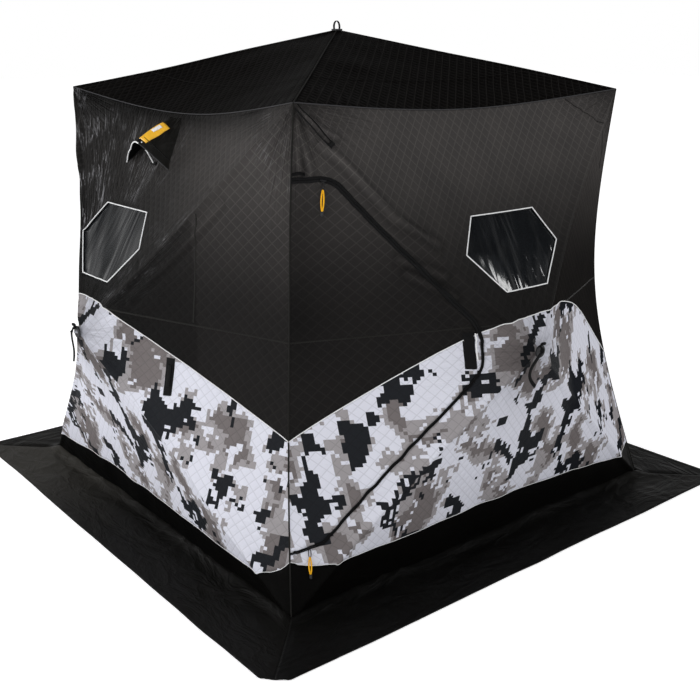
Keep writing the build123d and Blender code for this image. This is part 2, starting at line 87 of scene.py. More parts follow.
TURNS = {"front": (1, 0), "right": (0, 1), "back": (-1, 0), "left": (0, -1)}

TOP_FACET = ((TOP_L, TOP_R, HUB), (EAVE_BOW, POLE_BOW, POLE_BOW))
BOTTOM_FACET = ((BASE_L, BASE_R, HUB), (0.0, POLE_BOW, POLE_BOW))
LEFT_FACET = ((TOP_L, BASE_L, HUB), (CORNER_BOW, POLE_BOW, POLE_BOW))
RIGHT_FACET = ((TOP_R, BASE_R, HUB), (CORNER_BOW, POLE_BOW, POLE_BOW))
WALL_FACETS = (TOP_FACET, BOTTOM_FACET, LEFT_FACET, RIGHT_FACET)


# ---------------------------------------------------------------------------
# The skin: a wall is a square window seen from the centre of the hut
# ---------------------------------------------------------------------------
def bowed(weights, bows):
    """How far a facet is pulled in, from its three corner weights."""
    a, b, c = weights
    return 4 * (bows[0] * a * b + bows[1] * b * c + bows[2] * c * a)      # 4: whole at mid-edge


def wall_skin(g, depth=0.0):
    """Points of the front wall's skin at the centre's slopes g = (across, up)."""
    g = np.atleast_2d(g)
    rays = np.column_stack([g[:, 0], -np.ones(len(g)), g[:, 1]])
    unit = rays / np.linalg.norm(rays, axis=1)[:, None]
    best = np.full(len(g), -np.inf)
    out = np.zeros((len(g), 3))
    for corners, bows in WALL_FACETS:
        weights = np.linalg.solve(np.column_stack([c - CENTRE for c in corners]), rays.T)
        reach = 1 / weights.sum(0)
        weights = weights * reach
        inside = weights.min(0)
        take = inside > best
        place = CENTRE + rays * reach[:, None] - unit * (bowed(weights, bows) + depth)[:, None]
        out[take] = place[take]
        best[take] = inside[take]
    return out


def roof_skin(weights, depth=0.0):
    """Points of the front roof panel from the weights of left, right and peak."""
    weights = np.atleast_2d(weights)
    flat = weights @ np.array([TOP_L, TOP_R, PEAK])
    unit = flat - CENTRE
    unit /= np.linalg.norm(unit, axis=1)[:, None]
    pull = bowed(weights.T, (EAVE_BOW, 0.0, 0.0))
    return flat - unit * (pull + depth)[:, None]


def slopes(points):
    """The centre's slopes (across, up) of points on the front wall."""
    p = np.atleast_2d(points) - CENTRE
    return np.column_stack([p[:, 0] / -p[:, 1], p[:, 2] / -p[:, 1]])


def turned(points, wall):
    """Front wall points, turned to a wall."""
    cos, sin = TURNS[wall]
    p = np.array(points, dtype=float)
    out = p.copy()
    out[..., 0] = cos * p[..., 0] - sin * p[..., 1]
    out[..., 1] = sin * p[..., 0] + cos * p[..., 1]
    return out


def facet_frame(facet, along, height):
    """Point of a facet's flat plane by x and height, its level, up and outward axes."""
    a, b, c = facet[0]
    normal = np.cross(b - a, c - a)
    y = a[1] - (normal[0] * (along - a[0]) + normal[2] * (height - a[2])) / normal[1]
    normal = normal / np.linalg.norm(normal)
    if normal @ (a - CENTRE) < 0:
        normal = -normal
    level = np.cross([0, 0, 1], normal)
    level /= np.linalg.norm(level)
    return np.array([along, y, height]), level, np.cross(normal, level), normal


def to_skin(facet, points):
    """Points of a facet's flat plane, carried square to it onto the bowed skin."""
    normal = facet_frame(facet, 0.0, 1.0)[3]
    p = np.array(points, dtype=float)
    for _ in range(6):                          # settles to well under a millimetre
        p = p + ((wall_skin(slopes(p)) - p) @ normal)[:, None] * normal
    return p


# ---------------------------------------------------------------------------
# Lines on the walls, in the centre's slopes (across, up)
# ---------------------------------------------------------------------------
DOOR_HEAD, DOOR_SILL = 1.545, 0.240             # the frame's door, drawn a little fuller
DOOR_REACH, DOOR_HEAD_INSET, DOOR_SILL_INSET = 0.681, 0.148, 0.138
DOOR_SIDE_TOP, DOOR_SIDE_LOW, DOOR_SILL_TURN = 0.990, 0.833, 0.268
DOOR_SILL_RUN = 0.11                            # from the sill's turn to its level part
DOOR_ROUNDINGS = (0, .10, .15, .15, .055, .055, 0)
DOOR_GAP = 0.005
WINDOW_MID = 1.250
WINDOW = [(-.158, .155), (.182, .155), (.248, .011),
          (.110, -.152), (-.110, -.152), (-.248, .011)]
WINDOW_REACH = 0.16                             # from a window's middle to an edge
WINDOW_SHIFT = {"left": (-.090, -.016)}         # along and up the wall from its middle
VENT_SHIFT, VENT_LEAN, VENT_HALF = -0.063, 0.055, 0.170
VENT_FOOT, VENT_TOP = 1.545, 1.750
VENT_REACH, VENT_RISE = 0.088, 0.075
VENT_HOLE = 0.055
STITCHED = {                                    # extra sewn lines, in slopes
    "front": [[(.665, 1.049), (.74, .90), (.905, .668)]],
    "left": [[(.468, .505), (.442, .10)]],
}
CREASES = {                                     # long soft creases, in slopes
    "front": [[(-.86, .86), (-.74, .755), (-.525, .509), (-.35, .389)],
              [(-.47, .30), (-.30, .20)], [(-.50, .36), (-.33, .27)],
              [(-.98, 1.0), (-.94, .88), (-.895, .77)],
              [(-.97, 1.02), (-.87, .93), (-.78, .88)], [(-.985, .98), (-.965, .86), (-.955, .79)]],
    "left": [[(.60, .58), (.40, .36), (.16, .13)], [(.52, .60), (.20, .27)],
             [(-.92, .86), (-.72, .55), (-.52, .25)], [(-.82, .92), (-.58, .58), (-.38, .22)]],
}
CAMO_TOP = {                                    # top edge of the camouflage, in slopes
    "front": [(-1, -.31), (-.60, -.10), (-.21, .085), (-.02, .100), (.11, .106), (.22, .106),
              (.48, .040), (.70, -.095), (1, -.31)],
    "left": [(-1, -.31), (-.34, .05), (-.20, .105), (0, .105), (.06, .095), (1, -.31)],
}
BAND_TOP = {                                    # slope across, and height above the ground
    "front": [(-1, .203), (-.95, .191), (-.90, .184), (-.85, .181), (-.79, .181), (-.70, .184),
              (-.45, .190), (0, .200), (.45, .185), (1, .168)],
    "left": [(-1, .178), (-.5, .166), (0, .157), (.5, .142), (.66, .136), (.76, .134), (.83, .138),
             (.89, .149), (.95, .172), (1, .203)],
    "right": [(-1, .190), (0, .182), (1, .190)],
    "back": [(-1, .190), (0, .182), (1, .190)],
}
# corner seams off their even line; eaves that hang a little, or stand a little higher
CORNER_SWAY = {(-1, -1): (-.030, .024), (-1, 1): (-.014, .011)}
EAVE_SAG = {"left": .015, "front": -.009}


def corner_line(height):
    """Distance from a wall's middle to the line between its corners."""
    return BASE_HALF + (EAVE_HALF - BASE_HALF) * height / EAVE_Z


def by_height(line):
    """Slopes of a line given by its slope across and its height above the ground."""
    across = np.array([p[0] for p in line], dtype=float)
    height = np.array([p[1] for p in line], dtype=float)
    up = (height - CENTRE_Z) / BASE_HALF
    for _ in range(8):
        reach = -wall_skin(np.column_stack([across, up]))[:, 1]
        up = (height - CENTRE_Z) / reach
    return np.column_stack([across, up])


def stepped(line, step):
    """A line with more points, none further apart than step."""
    line = np.atleast_2d(np.array(line, dtype=float))
    out = [line[0]]
    for a, b in zip(line[:-1], line[1:]):
        parts = max(1, int(math.ceil(np.linalg.norm(b - a) / step)))
        out += [a + (b - a) * (i + 1) / parts for i in range(parts)]
    return np.array(out)


def resampled(line, count):
    """A line with a number of evenly spread points."""
    line = np.asarray(line, dtype=float)
    run = np.concatenate([[0], np.cumsum(np.linalg.norm(np.diff(line, axis=0), axis=1))])
    spots = np.linspace(0, run[-1], count)
    return np.column_stack([np.interp(spots, run, line[:, k]) for k in range(line.shape[1])])


def softened(line, times, closed=False):
    """A line with its corners cut back, times over."""
    line = np.array(line, dtype=float)
    for _ in range(times):
        ahead = np.roll(line, -1, axis=0) if closed else line[1:]
        behind = line if closed else line[:-1]
        pair = np.stack([behind * .75 + ahead * .25, behind * .25 + ahead * .75], axis=1)
        cut = pair.reshape(-1, line.shape[1])
        line = cut if closed else np.vstack([line[:1], cut[1:-1], line[-1:]])
    return line


def rounded(points, radii):
    """An open flat line with its inner corners rounded to a radius each."""
    out = [points[0]]
    for i in range(1, len(points) - 1):
        before, at, after = points[i - 1], points[i], points[i + 1]
        back = (before - at) / np.linalg.norm(before - at)
        on = (after - at) / np.linalg.norm(after - at)
        half = math.acos(float(np.clip(back @ on, -1, 1))) / 2
        if half > 1.56:                         # all but straight
            out.append(at)
            continue
        reach = radii[i] / math.tan(half)
        middle = (back + on) / np.linalg.norm(back + on) * (radii[i] / math.sin(half))
        first = at + back * reach - (at + middle)
        last = at + on * reach - (at + middle)
        turn = math.atan2(first[0] * last[1] - first[1] * last[0], first @ last)
        for k in range(9):
            c, s = math.cos(turn * k / 8), math.sin(turn * k / 8)
            spoke = np.array([c * first[0] - s * first[1], s * first[0] + c * first[1]])
            out.append(at + middle + spoke)
    out.append(points[-1])
    return np.array(out)


def door_line(margin=0.0, step=0.012):
    """Points of the zipper's D on the skin, grown by a margin, from head to sill."""
    side = corner_line((DOOR_SIDE_TOP + DOOR_SIDE_LOW) / 2) - DOOR_REACH
    head = corner_line(DOOR_HEAD) - DOOR_HEAD_INSET
    sill = corner_line(DOOR_SILL_TURN) - DOOR_SILL_INSET
    edge = BASE_HALF + CORNER_BOW
    corners = [(-edge, DOOR_HEAD), (-head, DOOR_HEAD), (-side, DOOR_SIDE_TOP),
               (-side, DOOR_SIDE_LOW), (-sill, DOOR_SILL_TURN),
               (-sill - DOOR_SILL_RUN, DOOR_SILL), (-edge, DOOR_SILL)]
    origin, level, up, _ = facet_frame(LEFT_FACET, -EAVE_HALF, CENTRE_Z)
    flat = []
    for along, height in corners:
        spot = facet_frame(LEFT_FACET, along, height)[0] - origin
        flat.append((spot @ level, spot @ up))
    line = stepped(rounded(np.array(flat), DOOR_ROUNDINGS), step)
    tangent = np.gradient(line, axis=0)
    tangent /= np.linalg.norm(tangent, axis=1)[:, None]
    line = line + np.column_stack([-tangent[:, 1], tangent[:, 0]]) * margin
    skin = to_skin(LEFT_FACET, origin + line[:, :1] * level + line[:, 1:] * up)
    g = slopes(skin)
    inside = np.where(g[:, 0] > -1)[0]
    first, last = inside[0], inside[-1]
    g = g[first:last + 1]
    head_end = g[0] + (g[0] - g[1]) * (g[0][0] + 1) / (g[1][0] - g[0][0])
    sill_end = g[-1] + (g[-1] - g[-2]) * (g[-1][0] + 1) / (g[-2][0] - g[-1][0])
    return np.vstack([head_end, g, sill_end])


def camo_line(wall):
    """Top edge of a wall's camouflage; the hidden walls repeat the front's."""
    return softened(CAMO_TOP.get(wall, CAMO_TOP["front"]), 2)


def window_line(wall, grow=0.0, step=0.012):
    """Closed line of a window's edge, from its top left corner."""
    origin, level, up, _ = facet_frame(TOP_FACET, 0.0, WINDOW_MID)
    flat = np.array(WINDOW) * (1 + grow / WINDOW_REACH) + WINDOW_SHIFT.get(wall, (0.0, 0.0))
    flat = stepped(np.vstack([flat, flat[:1]]), step)
    skin = to_skin(TOP_FACET, origin + flat[:, :1] * level + flat[:, 1:] * up)
    return slopes(skin)


def vent_line():
    """Closed line of the vent hole on the left wall."""
    middle = VENT_SHIFT + VENT_LEAN / 2
    origin, level, up, _ = facet_frame(TOP_FACET, middle, (VENT_FOOT + VENT_TOP) / 2)
    turn = np.linspace(0, 2 * np.pi, 33)
    flat = np.column_stack([np.cos(turn), np.sin(turn)]) * VENT_HOLE
    return slopes(to_skin(TOP_FACET, origin + flat[:, :1] * level + flat[:, 1:] * up))


def nearest(g, line):
    """Distance of each point to a line, and how far along the line that is."""
    best = np.full(len(g), np.inf)
    at = np.zeros(len(g))
    run = 0.0
    for a, b in zip(line[:-1], line[1:]):
        leg = b - a
        size = np.linalg.norm(leg)
        if size < 1e-9:
            continue
        t = np.clip(((g - a) @ leg) / size ** 2, 0, 1)
        d = np.linalg.norm(g - a - t[:, None] * leg, axis=1)
        closer = d < best
        best[closer] = d[closer]
        at[closer] = run + t[closer] * size
        run += size
    return best, at


def within(g, loop):
    """Which points lie inside a closed loop."""
    x, y = g[:, 0], g[:, 1]
    out = np.zeros(len(g), dtype=bool)
    for (x1, y1), (x2, y2) in zip(loop, np.roll(loop, -1, axis=0)):
        if y1 == y2:
            continue
        out ^= ((y1 > y) != (y2 > y)) & (x < (x2 - x1) * (y - y1) / (y2 - y1) + x1)
    return out


def above(g, line):
    """Which points lie above a line that runs across the wall."""
    return g[:, 1] > np.interp(g[:, 0], line[:, 0], line[:, 1])


# ---------------------------------------------------------------------------
# Relief of the cloth: swell, pole ridges, folds and puckers
# ---------------------------------------------------------------------------
POLE_ENDS = [(-1, EAVE_G), (1, EAVE_G), (-1, BASE_G), (1, BASE_G)]
WALL_SEED = {"front": 11, "right": 23, "back": 37, "left": 53}
ROOF_SEED, SKIRT_SEED = 100, 40                 # added to the wall's seed
WALL_LUMPS = ((.36, .0060), (.13, .0022))       # size and height of the cloth's lumps
ROOF_LUMPS = ((.34, .0050), (.12, .0018))
POLE_RIDGE, POLE_GUTTER = (.0042, .011), (.0026, .020)    # height and half width
SEAM_DIP = (.0014, .007)
HUB_FAN = ((5.5, 1.3), .0034)                   # folds round and out from a hub, their height
CORNER_FAN = ((7.5, 1.2), .0052)
FAN_MIDDLE, FAN_REACH = .20, .17                # where those folds are highest
TUCK_HEIGHT, GATHER_HEIGHT = .0040, .0085       # slack above the base, gathers at its corners
ZIPPER_WAVE, ZIPPER_RIDGE = .0042, (.0020, .016)
CREASE_RIDGE, CREASE_GUTTER = (.0050, .010), (.0030, .016)
CREASE_PAINT_HALF = .010                              # half width of a crease's painted highlight and of the painted shade beside it, in slopes
STILL_EDGE, STILL_ROOF_EDGE = .045, .05         # no relief nearer than this to a wall's edge
GROUND_GAP = 0.0008


def lattice(cell, seed):
    """A repeatable number from -1 to 1 for each lattice cell."""
    n = cell[:, 0] * 73856093 ^ cell[:, 1] * 19349663 ^ cell[:, 2] * 83492791 ^ seed * 49979687
    n = (n ^ (n >> 13)) * 1274126177
    n = n ^ (n >> 16)
    return (n & 0xffff) / 32767.5 - 1


def swell(points, size, seed):
    """Smooth noise from -1 to 1 with lumps of a size."""
    q = np.asarray(points, dtype=float) / size
    cell = np.floor(q).astype(np.int64)
    f = q - cell
    f = f * f * (3 - 2 * f)
    total = np.zeros(len(q))
    for corner in np.ndindex(2, 2, 2):
        weight = np.prod(np.where(corner, f, 1 - f), axis=1)
        total += weight * lattice(cell + np.array(corner), seed)
    return total


def ridged(points, size, seed):
    """Creases: sharp crests between rounded hollows, about -1 to 1."""
    return 1 - 2.4 * np.abs(swell(points, size, seed))


def ease(x):
    """Smooth step from 0 to 1."""
    x = np.clip(x, 0, 1)
    return x * x * (3 - 2 * x)


def bell(x, width):
    """Rounded bump of a half width."""
    return np.exp(-(x / width) ** 2)


def ways(g, spot):
    """Direction and distance in metres from a spot, as three columns."""
    reach = -wall_skin(g)[:, 1]
    across = (g - spot) * reach[:, None]
    r = np.linalg.norm(across, axis=1)
    safe = np.maximum(r, 1e-6)
    return np.column_stack([across / safe[:, None], r])


def below_pole(g):
    """How far a point lies below the pole from the hub to the upper right corner."""
    return (g[:, 0] - HUB_G[0]) * EAVE_G / (1 - HUB_G[0]) - g[:, 1]


def lee(wall, g):
    """1 where a wall turns away past its upper right pole: the cloth there has no specular sheen,
    and its painted light is a little paler.
    """
    x, y = g[:, 0], g[:, 1]
    if wall == "left":
        return x * 0
    near_hub = ease((x - HUB_G[0]) / .03) * ease((y + .02) / .04)
    return ease(below_pole(g) / .02) * np.maximum(ease((x - .2) / .1), near_hub)


def tone(wall, g):
    """Painted light on the walls' black cloth and band, as a share paler or darker than its dye:
    brighter toward the eaves, with painted highlights and painted shade along the creases.
    """
    x, y = g[:, 0], g[:, 1]
    crease = x * 0
    # painted highlight along each crease, with painted shade just beside it
    for line in CREASES.get(wall, ()):
        d = nearest(g, np.array(line))[0]
        crease += .35 * bell(d, CREASE_PAINT_HALF) - .28 * bell(d - 2 * CREASE_PAINT_HALF, CREASE_PAINT_HALF)
    if wall != "left":
        # painted light: darker low on the wall, much brighter toward the eaves, with painted shade
        # near the wall's left corner
        rise = 2.5 * ease((y - .15) / .73) - .38
        shade = 1 - .48 * bell(x + 1, .22) * ease((.95 - y) / .35) * ease((y + .15) / .35)
        return (rise + 1) * shade * (1 + .15 * lee(wall, g)) * (1 + crease) - 1
    pole = below_pole(g)
    # painted light on the left wall: darker low down, brighter toward the eaves
    rise = (2.7 * ease((y - .12) / .75) - .36) * (1 + crease)
    # painted shade toward the wall's back end
    far = (1 - .55 * ease((.60 - x) / .6)) * (1 - .42 * ease((-.1 - x) / .4))
    # painted shade along the eave, short of the front corner
    fold = 1 - .75 * bell(y - EAVE_G, .13) * ease((.92 - x) / .2)
    # painted shade on the panel below the pole, up to the sewn line
    patch = 1 - .35 * ease(pole / .012) * ease((.455 - .05 * (y - .3) - x) / .012)
    # painted highlight along the pole near the hub
    ridge = 1 + 1.3 * bell(pole + .012, .012) * ease((.30 - x) / .25)
    return (rise + 1) * far * fold * patch * ridge - 1


def rubbing(wall, g):
    """Where the crests of the folds carry a painted highlight, from 0 to 1."""
    x, y = g[:, 0], g[:, 1]
    # painted highlights: faint near the eaves on most walls; on the left wall on the slack folds,
    # at the back rim, along the pole and at the top front corner
    if wall != "left":
        return .10 * bell(y - EAVE_G, .3) + x * 0
    slack = ease((.30 - x + .10 * y) / .16) * ease((y - .12) / .15)
    slack *= 1 - .95 * bell(y - EAVE_G, .22) * ease((x + .95) / .15)
    rim = bell(x + .95, .07) * bell(y - .68, .25)
    along_pole = bell(below_pole(g) + .02, .035) * ease((.55 - x) / .2)
    corner = bell(x - .93, .14) * bell(y - .92, .20)
    highlight_amount = slack * (.45 + .35 * ease((-.1 - x) / .4)) + .8 * along_pole + 1.3 * rim + corner
    return np.clip(highlight_amount, 0, 1)


def fold_amounts(wall, g):
    """How strongly fine folds run from the hub and from the nearer top corner."""
    hub = ways(g, HUB_G)
    side = np.where(g[:, 0] < 0, -1.0, 1.0)
    corner = ways(g, np.column_stack([side, np.full(len(g), EAVE_G)]))
    hub_folds = bell(hub[:, 2] - .05, .30)
    corner_folds = bell(corner[:, 2] - .06, .26)
    if wall == "left":
        slack = ease((-.02 - g[:, 0] + .35 * g[:, 1]) / .25) * ease(g[:, 1] / .12)
        strip = bell(g[:, 0] - .16 - .42 * g[:, 1], .16) * ease((g[:, 1] - .05) / .2)
        hub_folds = np.maximum(np.maximum(hub_folds, slack), .8 * strip)
    return hub, corner, hub_folds, corner_folds


def lumps(place, kinds, seed):
    """Height of lumps of each size, the seed going up by one each time."""
    return sum(swell(place, size, seed + i) * height for i, (size, height) in enumerate(kinds))


def fan(way, kind, seed):
    """Height of the folds that fan out from a hub or a corner."""
    (across, out), height = kind
    folds_here = ridged(np.column_stack([way[:, :2] * across, way[:, 2] * out]), 1.0, seed)
    return folds_here * height * bell(way[:, 2] - FAN_MIDDLE, FAN_REACH)


def relief(wall, g):
    """Height of the cloth over the plain skin, in metres."""
    seed = WALL_SEED[wall]
    place = wall_skin(g)
    reach = -place[:, 1]
    out = lumps(place, WALL_LUMPS, seed)
    for end in POLE_ENDS:
        d = nearest(g, np.array([end, HUB_G], dtype=float))[0] * reach
        out += POLE_RIDGE[0] * bell(d, POLE_RIDGE[1])
        out -= POLE_GUTTER[0] * bell(d - .030, POLE_GUTTER[1])
    d = nearest(g, SEAM_LINE)[0] * reach
    out -= SEAM_DIP[0] * bell(d, SEAM_DIP[1])
    hub, corner = fold_amounts(wall, g)[:2]
    out += fan(hub, HUB_FAN, seed + 2) + fan(corner, CORNER_FAN, seed + 3)
    slack = ease((-.42 - g[:, 1]) / .20)
    tucks = np.column_stack([place[:, 0] * 9, place[:, 2] * 3.2, place[:, 1]])
    out += swell(tucks, 1.0, seed + 4) * TUCK_HEIGHT * slack
    if wall == "front":
        d, run = nearest(g, door_line())
        d *= reach
        wave = swell(np.column_stack([run * 22, d * 6, d * 0]), 1.0, seed + 5)
        out += wave * ZIPPER_WAVE * np.exp(-d / .07)
        out += ZIPPER_RIDGE[0] * bell(d - .020, ZIPPER_RIDGE[1])
    for crease in CREASES.get(wall, ()):
        d, run = nearest(g, np.array(crease))
        out += CREASE_RIDGE[0] * bell(d * reach, CREASE_RIDGE[1]) * ease(run / .08)
        out -= CREASE_GUTTER[0] * bell(d * reach - .026, CREASE_GUTTER[1])
    at_corner = ease((np.abs(g[:, 0]) - .93) / .10) * ease((-.60 - g[:, 1]) / .08)
    gathers = np.column_stack([g[:, 0] * 46, g[:, 1] * 3, g[:, 0] * 0])
    out += at_corner * swell(gathers, 1.0, seed + 6) * GATHER_HEIGHT
    edge = np.minimum(1 - np.abs(g[:, 0]), np.minimum(EAVE_G - g[:, 1], g[:, 1] - BASE_G))
    return out * ease(edge * reach / STILL_EDGE)


def sway(points):
    """How far the cloth near a corner hangs off the seam's even line."""
    out = np.zeros_like(points)
    rise = np.sin(np.pi * np.clip(points[:, 2] / EAVE_Z, 0, 1))
    corner = corner_line(points[:, 2])
    for (x, y), move in CORNER_SWAY.items():
        away = np.hypot(points[:, 0] - x * corner, points[:, 1] - y * corner)
        out[:, :2] += (rise * bell(away, .42))[:, None] * move
    return out


def settled(points):
    """Points of the cloth near the left and front eaves, moved with the hang of the eave."""
    out = np.array(points, dtype=float)
    for wall, drop in EAVE_SAG.items():
        cos, sin = TURNS[wall]
        along = cos * points[..., 0] + sin * points[..., 1]
        away = sin * points[..., 0] - cos * points[..., 1]
        near_eave = bell(points[..., 2] - EAVE_Z + .03, .22)
        middle = np.clip(1 - (along / EAVE_HALF) ** 2, 0, 1) * near_eave
        out[..., 2] -= drop * middle * ease((away - .25) / .35)
    return out


def cloth(wall, g, lift=0.0):
    """Points of a wall's cloth, lifted outward, in the shared frame."""
    g = np.atleast_2d(np.array(g, dtype=float))
    points = wall_skin(g, -(relief(wall, g) + lift))
    points[:, 2] = np.maximum(points[:, 2], GROUND_GAP)
    points = turned(points, wall)
    return settled(points + sway(points))


def cloth_path(wall, g, lift=0.0):
    """Points of a line on the cloth with the outward direction at each."""
    points = cloth(wall, g, lift)
    out = points - CENTRE
    return points, out / np.linalg.norm(out, axis=1)[:, None]


def roof_relief(wall, weights):
    """Height of a roof panel's cloth over its plain skin."""
    seed = WALL_SEED[wall] + ROOF_SEED
    flat = weights @ np.array([TOP_L, TOP_R, PEAK])
    out = lumps(flat, ROOF_LUMPS, seed)
    ripples = np.column_stack([flat[:, 0] * 3, flat[:, 1] * 9, flat[:, 2]])
    out += swell(ripples, 1.0, seed + 2) * .003
    edge = weights.min(axis=1) * 1.5
    return out * ease(edge / STILL_ROOF_EDGE)


def roof_cloth(wall, weights, lift=0.0):
    """Points of a roof panel's cloth, lifted outward, in the shared frame."""
    weights = np.atleast_2d(np.array(weights, dtype=float))
    return settled(turned(roof_skin(weights, -(roof_relief(wall, weights) + lift)), wall))


# ---------------------------------------------------------------------------
# Mesh builders
# ---------------------------------------------------------------------------
def new_piece(name, points, faces, finishes, body="hut", stands_for=(), values=None, *, uv, slot):
    """Adds a mesh piece in metres in the shared frame, with its finishes and its body."""
    mesh = bpy.data.meshes.new(name)
    mesh.from_pydata(np.asarray(points, dtype=float).tolist(), [], [tuple(f) for f in faces])
    for key in finishes:
        mesh.materials.append(finish(key))
    loops = np.zeros(len(mesh.loops), dtype=np.int32)
    mesh.loops.foreach_get("vertex_index", loops)
    layer = mesh.uv_layers.new(name="Cut")
    layer.data.foreach_set("uv", np.asarray(uv, dtype=np.float32)[loops].ravel())
    for key, value in (values or {}).items():
        value = np.asarray(value, dtype=np.float32)
        kind = "FLOAT_VECTOR" if value.ndim == 2 else "FLOAT"
        attribute = mesh.attributes.new(key, kind, "POINT")
        attribute.data.foreach_set("vector" if value.ndim == 2 else "value", value.ravel())
    mesh.validate()
    mesh.update()
    mesh.shade_smooth()
    piece = bpy.data.objects.new(name, mesh)
    bpy.context.scene.collection.objects.link(piece)
    if stands_for:
        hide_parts(*stands_for)
    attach(piece, body)
    return piece


def add_modifier(piece, kind, **settings):
    """Adds a modifier with its settings."""
    modifier = piece.modifiers.new(kind.title(), kind)
    for key, value in settings.items():
        setattr(modifier, key, value)
    return modifier


class Heap:
    """Vertices and faces of many small parts that make one piece."""

    def __init__(self):
        self.points, self.faces, self.uv, self.count = [], [], [], 0

    def add(self, points, faces, uv):
        """Adds a part's points, its faces by their own numbers, and its flat coordinates."""
        self.points.append(np.asarray(points, dtype=float))
        self.uv.append(np.asarray(uv, dtype=float))
        self.faces += [tuple(i + self.count for i in face) for face in faces]
        self.count += len(points)

    def piece(self, name, finish_name, slot="black_webbing", **more):
        """Makes one piece of all the parts."""
        new_piece(name, np.vstack(self.points), self.faces, [finish_name],
                  uv=np.vstack(self.uv), slot=slot, **more)


def sweep(heap, points, outward, profile, closed=False):
    """Sweeps a flat profile (across, out) along a line; outward is a direction at each point."""
    points = np.asarray(points, dtype=float)
    outward = np.broadcast_to(np.asarray(outward, dtype=float), points.shape)
    ahead = np.roll(points, -1, axis=0) - np.roll(points, 1, axis=0)
    if not closed:
        ahead[0] = points[1] - points[0]
        ahead[-1] = points[-1] - points[-2]
    ahead /= np.maximum(np.linalg.norm(ahead, axis=1), 1e-9)[:, None]
    side = np.cross(ahead, outward)
    side /= np.maximum(np.linalg.norm(side, axis=1), 1e-9)[:, None]
    out = np.cross(side, ahead)
    profile = np.asarray(profile, dtype=float)
    if profile.ndim == 2:
        profile = np.broadcast_to(profile, (len(points),) + profile.shape)
    ring = profile.shape[1]
    grid = points[:, None] + side[:, None] * profile[:, :, :1] + out[:, None] * profile[:, :, 1:]
    legs = np.linalg.norm(np.diff(points, axis=0), axis=1)
    run = np.concatenate([[0], np.cumsum(legs)])
    rim = np.linalg.norm(np.diff(profile[0], axis=0, append=profile[0][:1]), axis=1)
    girth = np.concatenate([[0], np.cumsum(rim)[:-1]])
    faces = []
    rows = len(points)
    for i in range(rows if closed else rows - 1):
        j = (i + 1) % rows
        for k in range(ring):
            m = (k + 1) % ring
            faces.append((i * ring + k, i * ring + m, j * ring + m, j * ring + k))
    if not closed:
        faces.append(tuple(range(ring))[::-1])
        faces.append(tuple((rows - 1) * ring + k for k in range(ring)))
    heap.add(grid.reshape(-1, 3), faces, grid_uv(run, girth))


def grid_faces(rows, columns):
    """Four-sided faces of a grid of points, one more each way than its faces."""
    starts = [i * (columns + 1) + j for i in range(rows) for j in range(columns)]
    return [(a, a + 1, a + columns + 2, a + columns + 1) for a in starts]


def grid_uv(along, across):
    """Flat coordinates of a grid of points, from those of its rows and its columns."""
    return np.stack(np.broadcast_arrays(along[:, None], across[None, :]), axis=-1).reshape(-1, 2)


def swollen(profile, widths):
    """A profile repeated along a line, wider or narrower at each point."""
    return profile[None] * widths[:, None, None]


def triangles(verts, edges, kind):
    """Triangles between flat points that keep some edges: kind 0 all over, 1 within them."""
    verts = [Vector(v) for v in verts]
    points, _, faces, _, _, _ = delaunay_2d_cdt(verts, edges, [], kind, 1e-6)
    return np.array([tuple(p) for p in points]), np.array([tuple(f) for f in faces])


def round_profile(width, height, sides=10):
    """Oval profile, flat side down."""
    turn = np.linspace(0, 2 * np.pi, sides, endpoint=False)
    return np.column_stack([np.cos(turn) * width / 2, np.sin(turn) * height / 2])


def strip_profile(width, height, crown=0.0):
    """Thin strip with soft edges and a crown, as woven tape."""
    half, rise = width / 2, height / 2
    return np.array([(-half, -rise), (half, -rise), (half + rise * .6, 0), (half, rise),
                     (half * .5, rise + crown * .8), (0, rise + crown),
                     (-half * .5, rise + crown * .8), (-half, rise), (-half - rise * .6, 0)])


def square_cut(spacing, lines):
    """Triangles over a wall's square that keep every given line as an edge."""
    across = np.arange(-1 + spacing / 2, 1, spacing)
    rows = np.arange(BASE_G + spacing / 2, EAVE_G, spacing * .9)
    grid = np.array([(x + (spacing / 2 if i % 2 else 0), y)
                     for i, y in enumerate(rows) for x in across if x + spacing / 2 < .998])
    rim = [(-1, BASE_G), (1, BASE_G), (1, EAVE_G), (-1, EAVE_G), (-1, BASE_G)]
    every = [stepped(line, spacing) for line in [rim] + lines]
    for line in every:
        grid = grid[nearest(grid, line)[0] > spacing * .42]
    verts = [tuple(p) for p in grid]
    edges = []
    for line in every:
        start = len(verts)
        verts += [(min(1.0, max(-1.0, x)), min(EAVE_G, max(BASE_G, y))) for x, y in line]
        edges += [(start + i, start + i + 1) for i in range(len(line) - 1)]
    points, faces = triangles(verts, edges, 0)
    middles = points[faces].mean(axis=1)
    first = points[faces[:, 1]] - points[faces[:, 0]]
    second = points[faces[:, 2]] - points[faces[:, 0]]
    area = first[:, 0] * second[:, 1] - first[:, 1] * second[:, 0]
    faces[area < 0] = faces[area < 0][:, ::-1]
    keep = np.abs(area) > 1e-9
    return points, faces[keep], middles[keep]


